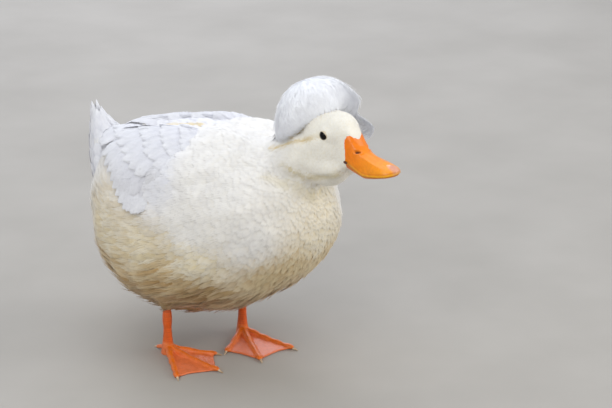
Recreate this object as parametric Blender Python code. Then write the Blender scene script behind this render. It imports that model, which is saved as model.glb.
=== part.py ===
"""A crested duck standing at ease, life size, as a museum would show it.

Metres, +Z up. The bird faces -Y and its left side is +X. It is modelled in its own
measures, forward, side and up, and is then set down with the middle of its outline
over the origin and its feet on z = 0.
"""

import math
import random

import bmesh
import bpy
from mathutils import Matrix, Vector

GAP = 0.0003

# Torso: an egg with its axis tilted up at the breast. Sizes run rump, middle, breast.
TORSO_MIDDLE = (-0.006, 0.0, 0.150)
TORSO_HALF_LENGTH = 0.160
TORSO_TILT = math.radians(18)
TORSO_HALF_WIDTH = (0.089, 0.105, 0.098)
TORSO_ABOVE = (0.134, 0.102, 0.094)
TORSO_BELOW = (0.108, 0.110, 0.089)
TORSO_END_POWER = 2.5
TORSO_SIDE_POWER = 2.15

# Rump: the thick, feathered root of the tail, a short horn that turns up out of the torso.
RUMP_START = (-0.112, 0.0, 0.165)
RUMP_BEND = (-0.152, 0.0, 0.176)
RUMP_END = (-0.175, 0.0, 0.220)
RUMP_HALF_WIDTH = (0.062, 0.021)
RUMP_HALF_DEPTH = (0.052, 0.015)

# Neck: short and drawn in, from the shoulders up to the skull.
NECK_START = (0.080, 0.0, 0.190)
NECK_BEND = (0.112, 0.0, 0.228)
NECK_END = (0.140, 0.0, 0.266)
NECK_RADIUS = (0.060, 0.029)

# Head, in its own frame: forward along the face, turned a little to the bird's right.
HEAD_CENTRE = (0.156, 0.0, 0.268)
HEAD_TURN = math.radians(3)
HEAD_PITCH = math.radians(6)
HEAD_HALF_LENGTH = 0.0355
HEAD_HALF_WIDTH = (0.0240, 0.0275, 0.0210)
HEAD_ABOVE = (0.0290, 0.0350, 0.0270)
HEAD_BELOW = (0.0330, 0.0420, 0.0260)
CHEEK_SWELL = 0.16

EYE_PLACE = (0.0103, 0.0230, 0.0150)
EYE_RADIUS = 0.0055
LID_RADIUS = 0.0052
LID_THICKNESS = 0.0011

# Bill, in its own frame: forward along the mouth line. Stations run from base to tip.
BILL_BASE = (0.0180, 0.0, -0.0075)
BILL_PITCH = math.radians(-1)
BILL_LENGTH = 0.0755
BILL_HALF_WIDTH = (
    (0.0, 0.0152), (0.30, 0.0128), (0.50, 0.0120), (0.78, 0.0150), (0.93, 0.0128), (1.0, 0.0060),
)
BILL_HEIGHT = ((0.0, 0.0300), (0.18, 0.0250), (0.38, 0.0140), (0.60, 0.0075), (0.90, 0.0045), (1.0, 0.0024))
MANDIBLE_HALF_WIDTH = (
    (0.0, 0.0140), (0.30, 0.0118), (0.50, 0.0110), (0.78, 0.0138), (0.91, 0.0115), (0.98, 0.0050),
)
MANDIBLE_DEPTH = ((0.0, 0.0085), (0.30, 0.0060), (0.50, 0.0040), (0.78, 0.0030), (1.0, 0.0018))
NOSTRIL_PLACE = (0.0270, 0.0085, 0.0112)
NOSTRIL_SIZE = (0.0042, 0.0030, 0.0016)
NAIL_PLACE = (0.0735, 0.0, 0.0020)
NAIL_SIZE = (0.0062, 0.0046, 0.0032)

# Crest: a globe of feathers that grows from the back of the crown, in the head's frame.
CREST_CENTRE = (-0.0218, 0.0040, 0.0164)
CREST_RADII = (0.0470, 0.0480, 0.0415)
CREST_PITCH = math.radians(-34)
CREST_CORE = 0.48
CREST_DEPTH = 0.58
# Tiers from the lowest rim up to the whorl: (degrees from the top, count). Over the forehead
# they end this much sooner, and at the lobe, degrees round to the left, they reach further.
CREST_TIERS = ((130, 13), (108, 13), (84, 13), (61, 11), (38, 7), (16, 3))
CREST_FRONT_SHORTER = 0.30
CREST_LOBE_TURN = 60
CREST_LOBE_SPREAD = 38
CREST_LOBE_REACH = 0.16
CREST_SWEEP = 36
CREST_WHORL = 0.15
CREST_VANE_WIDTH = 0.0205
CREST_CURL = 2.0
CREST_UNEVEN = 0.05
CREST_SEED = 7

# Wings: folded on the flanks. Each follows the torso, in metres forward along the torso's
# axis and in degrees round it from the ridge of the back: (forward, top edge, low edge).
WING_OUTLINE = (
    (-0.110, 7, 26), (-0.085, 5, 42), (-0.050, 4, 60), (0.000, 4, 66),
    (0.040, 5, 62), (0.075, 7, 56), (0.098, 12, 50), (0.110, 22, 42),
)
WING_THICKNESS = 0.0070
WING_SINK = 0.0030
# How far the tips over the rump stand off the torso, and where along it that begins and is full.
WING_TIP_LIFT = 0.019
WING_TIP_REACH = (-0.030, -0.110)
# Tiers of vanes, lowest first. Each has tips along a line of (forward, round) places from the
# ridge of the back to the flank, and at both ends of it a length, a width and a slant in degrees.
PRIMARIES = {
    "tips": ((-0.119, 9), (-0.112, 19), (-0.098, 29)),
    "count": 4, "length": (0.105, 0.090), "width": (0.015, 0.017), "slant": (-2, 24),
}
SECONDARIES = {
    "tips": ((-0.086, 38), (-0.062, 54), (-0.045, 68), (-0.026, 77), (-0.008, 66)),
    "count": 6, "length": (0.086, 0.066), "width": (0.019, 0.018), "slant": (28, 58),
}
TERTIALS = {
    "tips": ((-0.104, 7), (-0.082, 20), (-0.052, 36), (-0.020, 50), (0.006, 57)),
    "count": 6, "length": (0.085, 0.062), "width": (0.020, 0.019), "slant": (0, 46),
}
SCAPULARS = {
    "tips": ((-0.066, 7), (-0.040, 20), (-0.008, 34), (0.020, 49), (0.044, 63), (0.060, 56)),
    "count": 7, "length": (0.066, 0.046), "width": (0.020, 0.017), "slant": (2, 44),
}
MANTLE = {
    "tips": ((-0.026, 8), (0.000, 22), (0.030, 38), (0.056, 50), (0.080, 58)),
    "count": 5, "length": (0.054, 0.036), "width": (0.019, 0.016), "slant": (4, 34),
}
SHOULDER = {
    "tips": ((0.020, 9), (0.042, 24), (0.066, 38), (0.092, 48)),
    "count": 4, "length": (0.044, 0.030), "width": (0.018, 0.015), "slant": (4, 24),
}
WING_TIERS = (PRIMARIES, SECONDARIES, TERTIALS, SCAPULARS, MANTLE, SHOULDER)
WING_RISE = 0.0038

# Vanes: a flat strip with a round tip, given its outline as (place, share of its full width).
VANE_THICKNESS = 0.0007
LAY_STEP = 0.0005
VANE_SINK = 0.0020
VANE_CLEARANCE = 0.0016
VANE_ROLL = math.radians(7)
LONG_OUTLINE = ((0.0, 0.42), (0.28, 0.80), (0.56, 1.0), (0.80, 0.94), (0.94, 0.62), (1.0, 0.16))
SHORT_OUTLINE = ((0.0, 0.38), (0.45, 1.0), (0.84, 0.86), (1.0, 0.22))

# Tail: a fan on the end of the rump, in a frame with its forward axis along the tail, and
# rings of coverts round the rump: (how far along it they end, count, length, width).
TAIL_PITCH = math.radians(62)
TAIL_LENGTH = 0.027
TAIL_ROOT = 0.030
TAIL_COUNT = 9
TAIL_HALF_WIDTH = 0.0125
TAIL_STEP = 0.0012
TAIL_OUTER_SHORTER = 0.012
TAIL_VANE_WIDTH = 0.0110
COVERTS = ((0.62, 8, 0.62, 0.0220), (0.86, 7, 0.50, 0.0175), (1.12, 6, 0.46, 0.0140))
COVERT_RISE = 0.0030
COVERT_ROOM = 0.0062

# Legs. They are set out from the ground up, and the ground lies a little under the body's zero.
GROUND = -0.008
FOOT_SIDE = {"right": -0.054, "left": 0.038}
FOOT_FORWARD = {"right": -0.031, "left": -0.001}
TOE_TURN = {"right": math.radians(2), "left": math.radians(34)}
THIGH_MIDDLE = (0.014, 0.016, 0.080)
THIGH_HALF_SIZE = (0.046, 0.044, 0.066)
THIGH_FOOT = 0.044
THIGH_RADIUS = (0.0200, 0.0072)
SHANK_FOOT = 0.0130
SHANK_RADIUS = (0.0052, 0.0044, 0.0062)
ANKLE_RADIUS = 0.0072
TOE_LENGTH = {"inner": 0.049, "middle": 0.072, "outer": 0.066}
TOE_SPREAD = {"inner": math.radians(34), "middle": 0.0, "outer": math.radians(-37)}
TOE_RADIUS = (0.0046, 0.0027)
KNUCKLE_SWELL = 0.14
WEB_THICKNESS = 0.0020
WEB_SCALLOP = 0.14
HALLUX_LENGTH = 0.017
HALLUX_HEIGHT = 0.0125
HALLUX_RADIUS = (0.0034, 0.0021)
CLAW_LENGTH = 0.0090

COLOURS = {
    "plumage": (0.86, 0.84, 0.78),
    "bill": (0.90, 0.33, 0.02),
    "leg": (0.78, 0.16, 0.02),
    "claw": (0.80, 0.62, 0.42),
    "eye": (0.01, 0.01, 0.012),
}
SLOTS = {"bill": "bill", "shank": "leg", "foot": "leg", "claw": "claw", "eye": "eye"}
ROUGHNESS = {"plumage": 0.85, "bill": 0.38, "leg": 0.42, "claw": 0.35, "eye": 0.05}


def at(forward, side, up):
    """A point from its distance forward, to the bird's left, and up."""
    return Vector((side, -forward, up))


def between(low, middle, high, s):
    """The parabola through three sizes, at s from -1 to 1."""
    return middle + s * (high - low) / 2 + s * s * ((high + low) / 2 - middle)


def along(stations, t):
    """Smooth values between (position, value) stations."""
    last = len(stations) - 1
    i = min(max(sum(1 for place, _ in stations if place <= t) - 1, 0), last - 1)
    before, low, high, after = (stations[min(max(i + k, 0), last)] for k in (-1, 0, 1, 2))
    span = high[0] - low[0]
    f = min(max((t - low[0]) / span, 0.0), 1.0)
    slope_low = span * (high[1] - before[1]) / max(high[0] - before[0], 1e-9)
    slope_high = span * (after[1] - low[1]) / max(after[0] - low[0], 1e-9)
    return (
        (2 * f**3 - 3 * f**2 + 1) * low[1]
        + (f**3 - 2 * f**2 + f) * slope_low
        + (3 * f**2 - 2 * f**3) * high[1]
        + (f**3 - f**2) * slope_high
    )


def bend(start, middle, end, t):
    """A point on the quadratic curve from start, drawn towards middle, to end."""
    return start * (1 - t) ** 2 + middle * 2 * t * (1 - t) + end * t * t


def oval(count, width, above, below, power, swell=0.0):
    """The points of a section, as (side, up). Swell widens its lower half."""
    points = []
    for k in range(count):
        angle = 2 * math.pi * (k + 0.5) / count
        c, s = math.cos(angle), math.sin(angle)
        side = math.copysign(abs(c) ** (2 / power), c) * width * (1 - swell * s)
        up = math.copysign(abs(s) ** (2 / power), s) * (above if s > 0 else below)
        points.append((side, up))
    return points


def loft(name, rings, start=None, end=None):
    """A closed skin over rings of points, ending in points or in flat caps."""
    mesh = bmesh.new()
    rows = [[mesh.verts.new(p) for p in ring] for ring in rings]
    count = len(rows[0])
    for low, high in zip(rows, rows[1:]):
        for k in range(count):
            n = (k + 1) % count
            mesh.faces.new((low[k], low[n], high[n], high[k]))
    for row, tip in ((rows[0], start), (rows[-1], end)):
        if tip is None:
            mesh.faces.new(row)
            continue
        pole = mesh.verts.new(tip)
        for k in range(count):
            mesh.faces.new((row[k], row[(k + 1) % count], pole))
    bmesh.ops.triangulate(mesh, faces=mesh.faces)
    bmesh.ops.recalc_face_normals(mesh, faces=mesh.faces)
    data = bpy.data.meshes.new(name)
    mesh.to_mesh(data)
    mesh.free()
    made = bpy.data.objects.new(name, data)
    bpy.context.scene.collection.objects.link(made)
    return made


def egg(name, place, half_length, widths, aboves, belows, power, side_power, rings, count, swell=0.0):
    """A lofted egg along its local forward axis, put in place by a matrix."""
    rows = []
    for i in range(1, rings):
        s = -math.cos(math.pi * i / rings)
        cap = (1 - abs(s) ** power) ** (1 / power)
        width, above, below = (between(*sizes, s) * cap for sizes in (widths, aboves, belows))
        section = oval(count, width, above, below, side_power, swell)
        rows.append([place @ at(s * half_length, side, up) for side, up in section])
    ends = [place @ at(s * half_length, 0, 0) for s in (-1, 1)]
    return loft(name, rows, *ends)


def horn(name, start, middle, end, widths, depths, rings, count, power=2.0):
    """A tapered tube along a bend in the bird's mid-plane or one parallel to it."""
    rows = []
    for i in range(rings + 1):
        t = i / rings
        here = bend(start, middle, end, t)
        ahead = (bend(start, middle, end, t + 0.01) - bend(start, middle, end, t - 0.01)).normalized()
        across = Vector((1, 0, 0))
        normal = ahead.cross(across).normalized()
        width = widths[0] + (widths[1] - widths[0]) * t
        depth = depths[0] + (depths[1] - depths[0]) * t
        section = oval(count, width, depth, depth, power)
        rows.append([here + across * side + normal * up for side, up in section])
    return loft(name, rows)


def apply_modifiers(target):
    """Replaces the object's mesh by what its modifiers make of it."""
    graph = bpy.context.evaluated_depsgraph_get()
    made = bpy.data.meshes.new_from_object(target.evaluated_get(graph))
    target.modifiers.clear()
    target.data = made


def boolean(target, pieces, operation, solver="MANIFOLD"):
    """Joins pieces to target, or cuts them out of it, with one modifier, and removes them."""
    group = bpy.data.collections.new(operation)
    bpy.context.scene.collection.children.link(group)
    for piece in pieces:
        group.objects.link(piece)
    modifier = target.modifiers.new(operation, "BOOLEAN")
    modifier.operation = operation
    modifier.operand_type = "COLLECTION"
    modifier.collection = group
    modifier.solver = solver
    apply_modifiers(target)
    for piece in pieces:
        bpy.data.objects.remove(piece)
    bpy.data.collections.remove(group)


def copy_of(source, name="copy"):
    made = bpy.data.objects.new(name, source.data.copy())
    bpy.context.scene.collection.objects.link(made)
    return made


def swollen(source, gap=GAP):
    """A copy of an object with its surface moved outwards, to cut a neighbour clear of it."""
    made = copy_of(source)
    modifier = made.modifiers.new("clearance", "DISPLACE")
    modifier.mid_level = 0.0
    modifier.strength = gap
    apply_modifiers(made)
    return made


def shells(target):
    """The closed surfaces of an object's mesh, each a list of faces, largest first."""
    mesh = bmesh.new()
    mesh.from_mesh(target.data)
    unseen, found = set(mesh.faces), []
    while unseen:
        stack, shell = [unseen.pop()], []
        while stack:
            face = stack.pop()
            shell.append(face)
            for edge in face.edges:
                for other in edge.link_faces:
                    if other in unseen:
                        unseen.remove(other)
                        stack.append(other)
        found.append(shell)
    found.sort(key=lambda shell: -sum(face.calc_area() for face in shell))
    return mesh, found


def keep_largest(target):
    """Drops every closed surface but the largest."""
    mesh, found = shells(target)
    scraps = [face for shell in found[1:] for face in shell]
    bmesh.ops.delete(mesh, geom=scraps, context="FACES")
    mesh.to_mesh(target.data)
    mesh.free()


def vane(stations):
    """A thin closed strip through (middle, half width, half thickness) vectors, split alike on both faces."""
    mesh = bmesh.new()
    rows = []
    for here, out, up in stations:
        corners = (here - out + up, here + out + up, here + out - up, here - out - up)
        rows.append([mesh.verts.new(corner) for corner in corners])
    for low, high in zip(rows, rows[1:]):
        for k, n in ((0, 1), (1, 2), (3, 0)):
            mesh.faces.new((low[k], low[n], high[n]))
            mesh.faces.new((low[k], high[n], high[k]))
        mesh.faces.new((low[2], low[3], high[2]))
        mesh.faces.new((low[3], high[3], high[2]))
    mesh.faces.new(rows[0])
    mesh.faces.new(rows[-1])
    bmesh.ops.recalc_face_normals(mesh, faces=mesh.faces)
    data = bpy.data.meshes.new("vane")
    mesh.to_mesh(data)
    mesh.free()
    made = bpy.data.objects.new("vane", data)
    bpy.context.scene.collection.objects.link(made)
    return made


def lay(surface, root, tip, width, lift, roll, outline=LONG_OUTLINE):
    """A vane over surface(u, v, lift), from root to tip in (u, v), rolled about its length like a shingle."""
    def place(t):
        u, v = (root[k] + (tip[k] - root[k]) * t for k in (0, 1))
        return surface(u, v, lift(t, u, v)), surface(u, v, lift(t, u, v) + LAY_STEP)

    stations = []
    for t, share in outline:
        here, above = place(t)
        lengthwise = (place(t + 0.01)[0] - place(t - 0.01)[0]).normalized()
        out = lengthwise.cross(above - here).normalized()
        out = (out * math.cos(roll) + (above - here).normalized() * math.sin(roll)).normalized()
        up = out.cross(lengthwise).normalized()
        stations.append((here, out * (width * share / 2), up * (VANE_THICKNESS / 2)))
    return vane(stations)


def inside(solid, point):
    """Whether a point lies inside a closed object."""
    found, spot, normal, _ = solid.closest_point_on_mesh(point)
    return found and (point - spot).dot(normal) < 0


def ball(name, place, radius, segments=24, rings=16):
    bpy.ops.mesh.primitive_uv_sphere_add(segments=segments, ring_count=rings, radius=radius)
    made = bpy.context.object
    made.name = name
    made.data.transform(place)
    return made


def frame_at(place, turn=0.0, pitch=0.0, lean=0.0):
    """A frame whose forward axis is turned to the bird's right and pitched down."""
    return (
        Matrix.Translation(at(*place))
        @ Matrix.Rotation(-turn, 4, "Z")
        @ Matrix.Rotation(pitch, 4, "X")
        @ Matrix.Rotation(lean, 4, "Y")
    )


TORSO = frame_at(TORSO_MIDDLE, pitch=-TORSO_TILT)
HEAD = frame_at(HEAD_CENTRE, HEAD_TURN, HEAD_PITCH)
BILL = HEAD @ frame_at(BILL_BASE, pitch=BILL_PITCH)
CREST = HEAD @ frame_at(CREST_CENTRE, pitch=CREST_PITCH)
TAIL = frame_at(RUMP_END, turn=math.pi, pitch=-TAIL_PITCH)
SIDES = {"left": 1, "right": -1}


def make_torso():
    return egg(
        "torso", TORSO, TORSO_HALF_LENGTH, TORSO_HALF_WIDTH, TORSO_ABOVE, TORSO_BELOW,
        TORSO_END_POWER, TORSO_SIDE_POWER, rings=16, count=24,
    )


def torso_point(forward, around, lift, sign):
    """A point over the torso: metres along its axis, degrees from the ridge of the back, metres off it."""
    def skin(s, angle):
        cap = (1 - abs(s) ** TORSO_END_POWER) ** (1 / TORSO_END_POWER)
        width, above, below = (
            between(*sizes, s) * cap for sizes in (TORSO_HALF_WIDTH, TORSO_ABOVE, TORSO_BELOW)
        )
        side = abs(math.sin(angle)) ** (2 / TORSO_SIDE_POWER) * width
        up = math.copysign(abs(math.cos(angle)) ** (2 / TORSO_SIDE_POWER), math.cos(angle))
        return TORSO @ at(s * TORSO_HALF_LENGTH, sign * side, up * (above if up > 0 else below))

    s, angle, step = forward / TORSO_HALF_LENGTH, math.radians(around), 0.01
    here = skin(s, angle)
    lengthwise = skin(s + step, angle) - skin(s - step, angle)
    crosswise = skin(s, angle + step) - skin(s, angle - step)
    return here + lengthwise.cross(crosswise).normalized() * (sign * lift)


def make_neck(torso, head):
    places = (at(*NECK_START), at(*NECK_BEND), at(*NECK_END))
    neck = horn("neck", *places, NECK_RADIUS, NECK_RADIUS, rings=6, count=20)
    boolean(neck, [swollen(torso), swollen(head)], "DIFFERENCE")
    keep_largest(neck)
    return neck


def make_head(torso, eyes):
    """The skull in its feathers, with lids round the eyes and sockets that hold them."""
    head = egg(
        "head", HEAD, HEAD_HALF_LENGTH, HEAD_HALF_WIDTH, HEAD_ABOVE, HEAD_BELOW,
        2.3, 2.1, rings=12, count=20, swell=CHEEK_SWELL,
    )
    boolean(head, [make_lid(sign) for sign in SIDES.values()], "UNION")
    boolean(head, [swollen(torso)] + [swollen(eye) for eye in eyes], "DIFFERENCE")
    keep_largest(head)
    return head


def eye_frame(sign):
    forward, side, up = EYE_PLACE
    return HEAD @ frame_at((forward, sign * side, up))


def make_eye(name, sign):
    eye = ball("eye_" + name, eye_frame(sign), EYE_RADIUS, segments=12, rings=8)
    return eye


def make_lid(sign):
    """The rim of skin round an eye, a ring that stands on the side of the head."""
    bpy.ops.mesh.primitive_torus_add(
        major_radius=LID_RADIUS, minor_radius=LID_THICKNESS, major_segments=12, minor_segments=4
    )
    lid = bpy.context.object
    out = Matrix.Translation((sign * EYE_RADIUS * 0.35, 0, 0)) @ Matrix.Rotation(math.pi / 2, 4, "Y")
    lid.data.transform(eye_frame(sign) @ out)
    return lid


def blade(name, widths, heights, below, rings, count, reach=1.0):
    """Half of a bill: a loft with a flat face on the mouth line and a domed one above or below."""
    rows = []
    sign = -1 if below else 1
    for i in range(rings + 1):
        t = math.sin(math.pi / 2 * i / rings) * reach
        width, height = along(widths, t), along(heights, t)
        row = []
        for k in range(count + 1):
            angle = math.pi * k / count
            side = math.copysign(abs(math.cos(angle)) ** 0.60, math.cos(angle)) * width
            up = math.sin(angle) ** 0.80 * height + 0.5 * GAP
            row.append(BILL @ at(t * BILL_LENGTH, side, sign * up))
        rows.append(row)
    return loft(name, rows)


def pip(place, size, segments=10, rings=6):
    """A small ellipsoid in the bill's frame, sized forward, side and up."""
    forward, side, up = size
    shape = Matrix.Diagonal((side, forward, up, 1))
    return ball("pip", BILL @ frame_at(place) @ shape, 1.0, segments, rings)


def make_bill(head):
    """Both halves of the bill, with nostrils and the hard nail at the tip."""
    upper = blade("bill_upper", BILL_HALF_WIDTH, BILL_HEIGHT, False, rings=11, count=12)
    boolean(upper, [pip(NAIL_PLACE, NAIL_SIZE)], "UNION")
    forward, side, up = NOSTRIL_PLACE
    pits = [pip((forward, sign * side, up), NOSTRIL_SIZE) for sign in SIDES.values()]
    lower = blade("bill_lower", MANDIBLE_HALF_WIDTH, MANDIBLE_DEPTH, True, rings=10, count=10, reach=0.97)
    boolean(upper, pits + [swollen(head), swollen(lower)], "DIFFERENCE")
    boolean(lower, [swollen(head)], "DIFFERENCE")
    keep_largest(upper)
    keep_largest(lower)


def crest_point(down, round_it, rise):
    """A point of the crest: degrees from its top, degrees round it, and a share of its size off its globe."""
    polar, turn = math.radians(down), math.radians(round_it)
    way = Vector((math.sin(polar) * math.sin(turn), -math.sin(polar) * math.cos(turn), math.cos(polar)))
    forward, side, up = CREST_RADII
    globe = Vector((way.x * side, way.y * forward, way.z * up))
    return CREST @ (globe * (1 + rise))


def make_crest(head, neck, torso, eyes):
    """Tiers of curved feathers that leave a core on the crown and droop from a whorl at its top."""
    forward, side, up = (CREST_CORE * radius for radius in CREST_RADII)
    shape = Matrix.Diagonal((side, forward, up, 1))
    crest = ball("crest", CREST @ shape, 1.0, 14, 8)
    draw = random.Random(CREST_SEED)
    pieces = []
    for row, (down, count) in enumerate(CREST_TIERS):
        for k in range(count):
            turn = 360 * (k + 0.5 * (row % 2) + draw.uniform(-0.12, 0.12)) / count
            longer = 1 + draw.uniform(-CREST_UNEVEN, CREST_UNEVEN)
            share = math.exp(-(((turn - CREST_LOBE_TURN) / CREST_LOBE_SPREAD) ** 2))
            sooner = CREST_FRONT_SHORTER * (1 + math.cos(math.radians(turn))) / 2
            low = down * (1 - sooner * (1 - share))
            lobe = CREST_LOBE_REACH * share * (down / CREST_TIERS[0][0]) ** 3
            width = CREST_VANE_WIDTH * (1 + draw.uniform(-0.1, 0.1))
            if inside(head, crest_point(low, turn, lobe)) or inside(neck, crest_point(low, turn, lobe)):
                continue
            pieces.append(lay(
                crest_point, (max(low - CREST_SWEEP, CREST_WHORL * low), turn), (low * longer, turn), width,
                lambda t, u, v: lobe * t - CREST_DEPTH * (1 - t) ** CREST_CURL, VANE_ROLL, SHORT_OUTLINE,
            ))
    boolean(crest, pieces, "UNION")
    boolean(crest, [swollen(other) for other in (head, neck, torso, *eyes)], "DIFFERENCE")
    keep_largest(crest)


def rump_point(t, round_it, lift):
    """A point of the rump: how far along it, degrees round it from its upper face, and metres off it."""
    places = (at(*RUMP_START), at(*RUMP_BEND), at(*RUMP_END))
    here = bend(*places, t)
    ahead = (bend(*places, t + 0.01) - bend(*places, t - 0.01)).normalized()
    across = Vector((1, 0, 0))
    normal = across.cross(ahead).normalized()
    width, depth = (low + (high - low) * t for low, high in (RUMP_HALF_WIDTH, RUMP_HALF_DEPTH))
    angle = math.radians(round_it)
    return here + across * math.sin(angle) * (width + lift) + normal * math.cos(angle) * (depth + lift)


def make_rump(name, extra):
    """The thick root of the tail, or a cutter that much larger all round."""
    places = (at(*RUMP_START), at(*RUMP_BEND), at(*RUMP_END))
    widths, depths = ([size + extra for size in sizes] for sizes in (RUMP_HALF_WIDTH, RUMP_HALF_DEPTH))
    return horn(name, *places, widths, depths, rings=5, count=16)


def make_tail(torso):
    """The feathered rump, rings of coverts on it, and the folded fan of the tail on its end."""
    tail = make_rump("tail", 0.0)
    pieces = []
    for k in range(TAIL_COUNT):
        s = 2 * k / (TAIL_COUNT - 1) - 1
        low = -TAIL_STEP * abs(k - TAIL_COUNT // 2) * 1.5
        root = at(-TAIL_ROOT, -s * TAIL_HALF_WIDTH * 0.5, low * 0.5)
        tip = at(TAIL_LENGTH - TAIL_OUTER_SHORTER * s * s, -s * TAIL_HALF_WIDTH, low)
        out, up = Vector((1, 0, -0.10 * s)).normalized(), Vector((0.10 * s, 0, 1)).normalized()
        out, up = (TAIL.to_3x3() @ way for way in (out, up))
        pieces.append(vane([
            (TAIL @ (root + (tip - root) * t), out * (TAIL_VANE_WIDTH * share / 2), up * (VANE_THICKNESS / 2))
            for t, share in SHORT_OUTLINE
        ]))
    for row, (end, count, length, width) in enumerate(COVERTS):
        for k in range(count):
            turn = 360 * (k + 0.5 * (row % 2)) / count
            pieces.append(lay(
                rump_point, (end - length, turn), (end, turn), width,
                lambda t, u, v: COVERT_RISE * t - VANE_SINK * (1 - t), VANE_ROLL, SHORT_OUTLINE,
            ))
    boolean(tail, pieces, "UNION")
    boolean(tail, [swollen(torso)], "DIFFERENCE")
    keep_largest(tail)


def wing_rise(forward, around):
    """How far the wing's core stands off the torso at a place on it, or 0 off the core."""
    first, last = WING_OUTLINE[0][0], WING_OUTLINE[-1][0]
    share = (forward - first) / (last - first)
    top, low = (along([(row[0], row[k]) for row in WING_OUTLINE], forward) for k in (1, 2))
    across = (around - top) / (low - top)
    if not (0 < share < 1 and 0 < across < 1):
        return 0.0
    full = math.sin(math.pi * (0.06 + 0.88 * share)) ** 0.4
    return WING_THICKNESS * full * (1 - abs(2 * across - 1) ** 3)


def wing_core(name, sign):
    """A shield that follows the torso, thickest along its middle."""
    rows, steps, count = [], 9, 5
    first, last = WING_OUTLINE[0][0], WING_OUTLINE[-1][0]
    edges = [[(row[0], row[k]) for row in WING_OUTLINE] for k in (1, 2)]
    for i in range(steps + 1):
        forward = first + (last - first) * i / steps
        top, low = (along(edge, forward) for edge in edges)
        turns = [top + (low - top) * k / count for k in range(count + 1)]
        outer = [torso_point(forward, turn, wing_rise(forward, turn), sign) for turn in turns]
        inner = [torso_point(forward, turn, -WING_SINK, sign) for turn in turns]
        rows.append(outer + inner[::-1])
    return loft(name, rows)


def wing_vanes(sign):
    """The vanes of every tier, from the flight feathers to the shoulder."""
    def lift(t, forward, around):
        start, full = WING_TIP_REACH
        reach = min(max((forward - start) / (full - start), 0.0), 1.0)
        tip = WING_TIP_LIFT * reach * reach * math.cos(math.radians(min(around, 90))) ** 4
        offset = WING_RISE * t - VANE_SINK * (1 - t) ** 2
        return max(wing_rise(forward, around) + offset, VANE_CLEARANCE if t > 0.3 else -1.0) + tip

    pieces = []
    for tier in WING_TIERS:
        tips = tier["tips"]
        knots = [[(j / (len(tips) - 1), tip[k]) for j, tip in enumerate(tips)] for k in (0, 1)]
        outline = LONG_OUTLINE if tier is PRIMARIES else SHORT_OUTLINE
        for j in range(tier["count"]):
            t = j / (tier["count"] - 1)
            tip = [along(line, t) for line in knots]
            length, width, slant = (
                tier[key][0] + (tier[key][1] - tier[key][0]) * t for key in ("length", "width", "slant")
            )
            slant = math.radians(slant)
            round_it = math.degrees(length * math.sin(slant) / TORSO_HALF_WIDTH[1])
            root = (tip[0] + length * math.cos(slant), max(tip[1] - round_it, 5))
            pieces.append(lay(
                lambda u, v, rise: torso_point(u, v, rise, sign),
                root, tip, width, lift, sign * VANE_ROLL, outline,
            ))
    return pieces


def make_wing(name, sign, torso, neck):
    wing = wing_core("wing_" + name, sign)
    boolean(wing, wing_vanes(sign), "UNION")
    for other in (swollen(torso), make_rump("room", COVERT_ROOM), swollen(neck)):
        boolean(wing, [other], "DIFFERENCE")
    keep_largest(wing)


def hip(name):
    """How far forward and to the left a leg stands."""
    return FOOT_FORWARD[name], FOOT_SIDE[name]


def make_thigh(name, torso):
    """The thigh under its plumage: a piece of the flank, and the sleeve of feathers below it."""
    forward, side = hip(name)
    lengthwise, outwards, up = THIGH_MIDDLE
    place = frame_at((forward + lengthwise, side + SIDES[name] * outwards, up))
    length, width, height = THIGH_HALF_SIZE
    drum = ball("drum", place @ Matrix.Diagonal((width, length, height, 1)), 1.0, 18, 12)
    top, foot = at(forward, side, up), at(forward, side, THIGH_FOOT + GROUND)
    thigh = horn("thigh_" + name, top, (top + foot) / 2, foot, THIGH_RADIUS, THIGH_RADIUS, rings=4, count=16)
    muscle = copy_of(torso)
    boolean(muscle, [copy_of(drum)], "INTERSECT")
    boolean(thigh, [muscle], "UNION")
    keep_largest(thigh)
    boolean(torso, [swollen(drum)], "DIFFERENCE")
    bpy.data.objects.remove(drum)
    keep_largest(torso)
    return thigh


def make_shank(name, thigh, foot):
    """The scaled lower leg, narrowest at its middle, from the ankle up to the plumage."""
    forward, side = hip(name)
    rows, steps, count = [], 4, 10
    for i in range(steps + 1):
        t = i / steps
        up = THIGH_FOOT + 0.004 + (SHANK_FOOT - 0.003 - THIGH_FOOT - 0.004) * t + GROUND
        radius = between(*SHANK_RADIUS, 2 * t - 1)
        section = oval(count, radius * 0.9, radius * 1.15, radius * 1.15, 2.0)
        rows.append([at(forward + lengthwise, side + across, up) for across, lengthwise in section])
    shank = loft("shank_" + name, rows)
    boolean(shank, [swollen(thigh), swollen(foot)], "DIFFERENCE")
    keep_largest(shank)


def foot_frame(name):
    forward, side = hip(name)
    return frame_at((forward, side, GROUND), turn=TOE_TURN[name])


def toe_way(name, toe):
    """The level direction of a toe in its foot's frame. The inner toe points to the mid-plane."""
    angle = -SIDES[name] * TOE_SPREAD[toe]
    return at(math.cos(angle), math.sin(angle), 0.0)


def knuckled(name, start, way, length, rise, radii, knuckles, place, rings=8, count=7):
    """A toe: a tube that sinks from its root to the ground and swells at its knuckles."""
    across = way.cross(Vector((0, 0, 1)))
    rows = []
    for i in range(rings + 1):
        t = i / rings
        radius = radii[0] + (radii[1] - radii[0]) * t
        radius *= 1 + KNUCKLE_SWELL * math.cos(2 * math.pi * knuckles * t)
        low = radii[0] + (radii[1] - radii[0]) * t
        here = start + way * (length * t) + Vector((0, 0, low * 0.86 + rise * (1 - t) ** 2.5))
        section = oval(count, radius, radius, radius, 2.0)
        rows.append([place @ (here + across * x + Vector((0, 0, y))) for x, y in section])
    return loft(name, rows)


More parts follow.
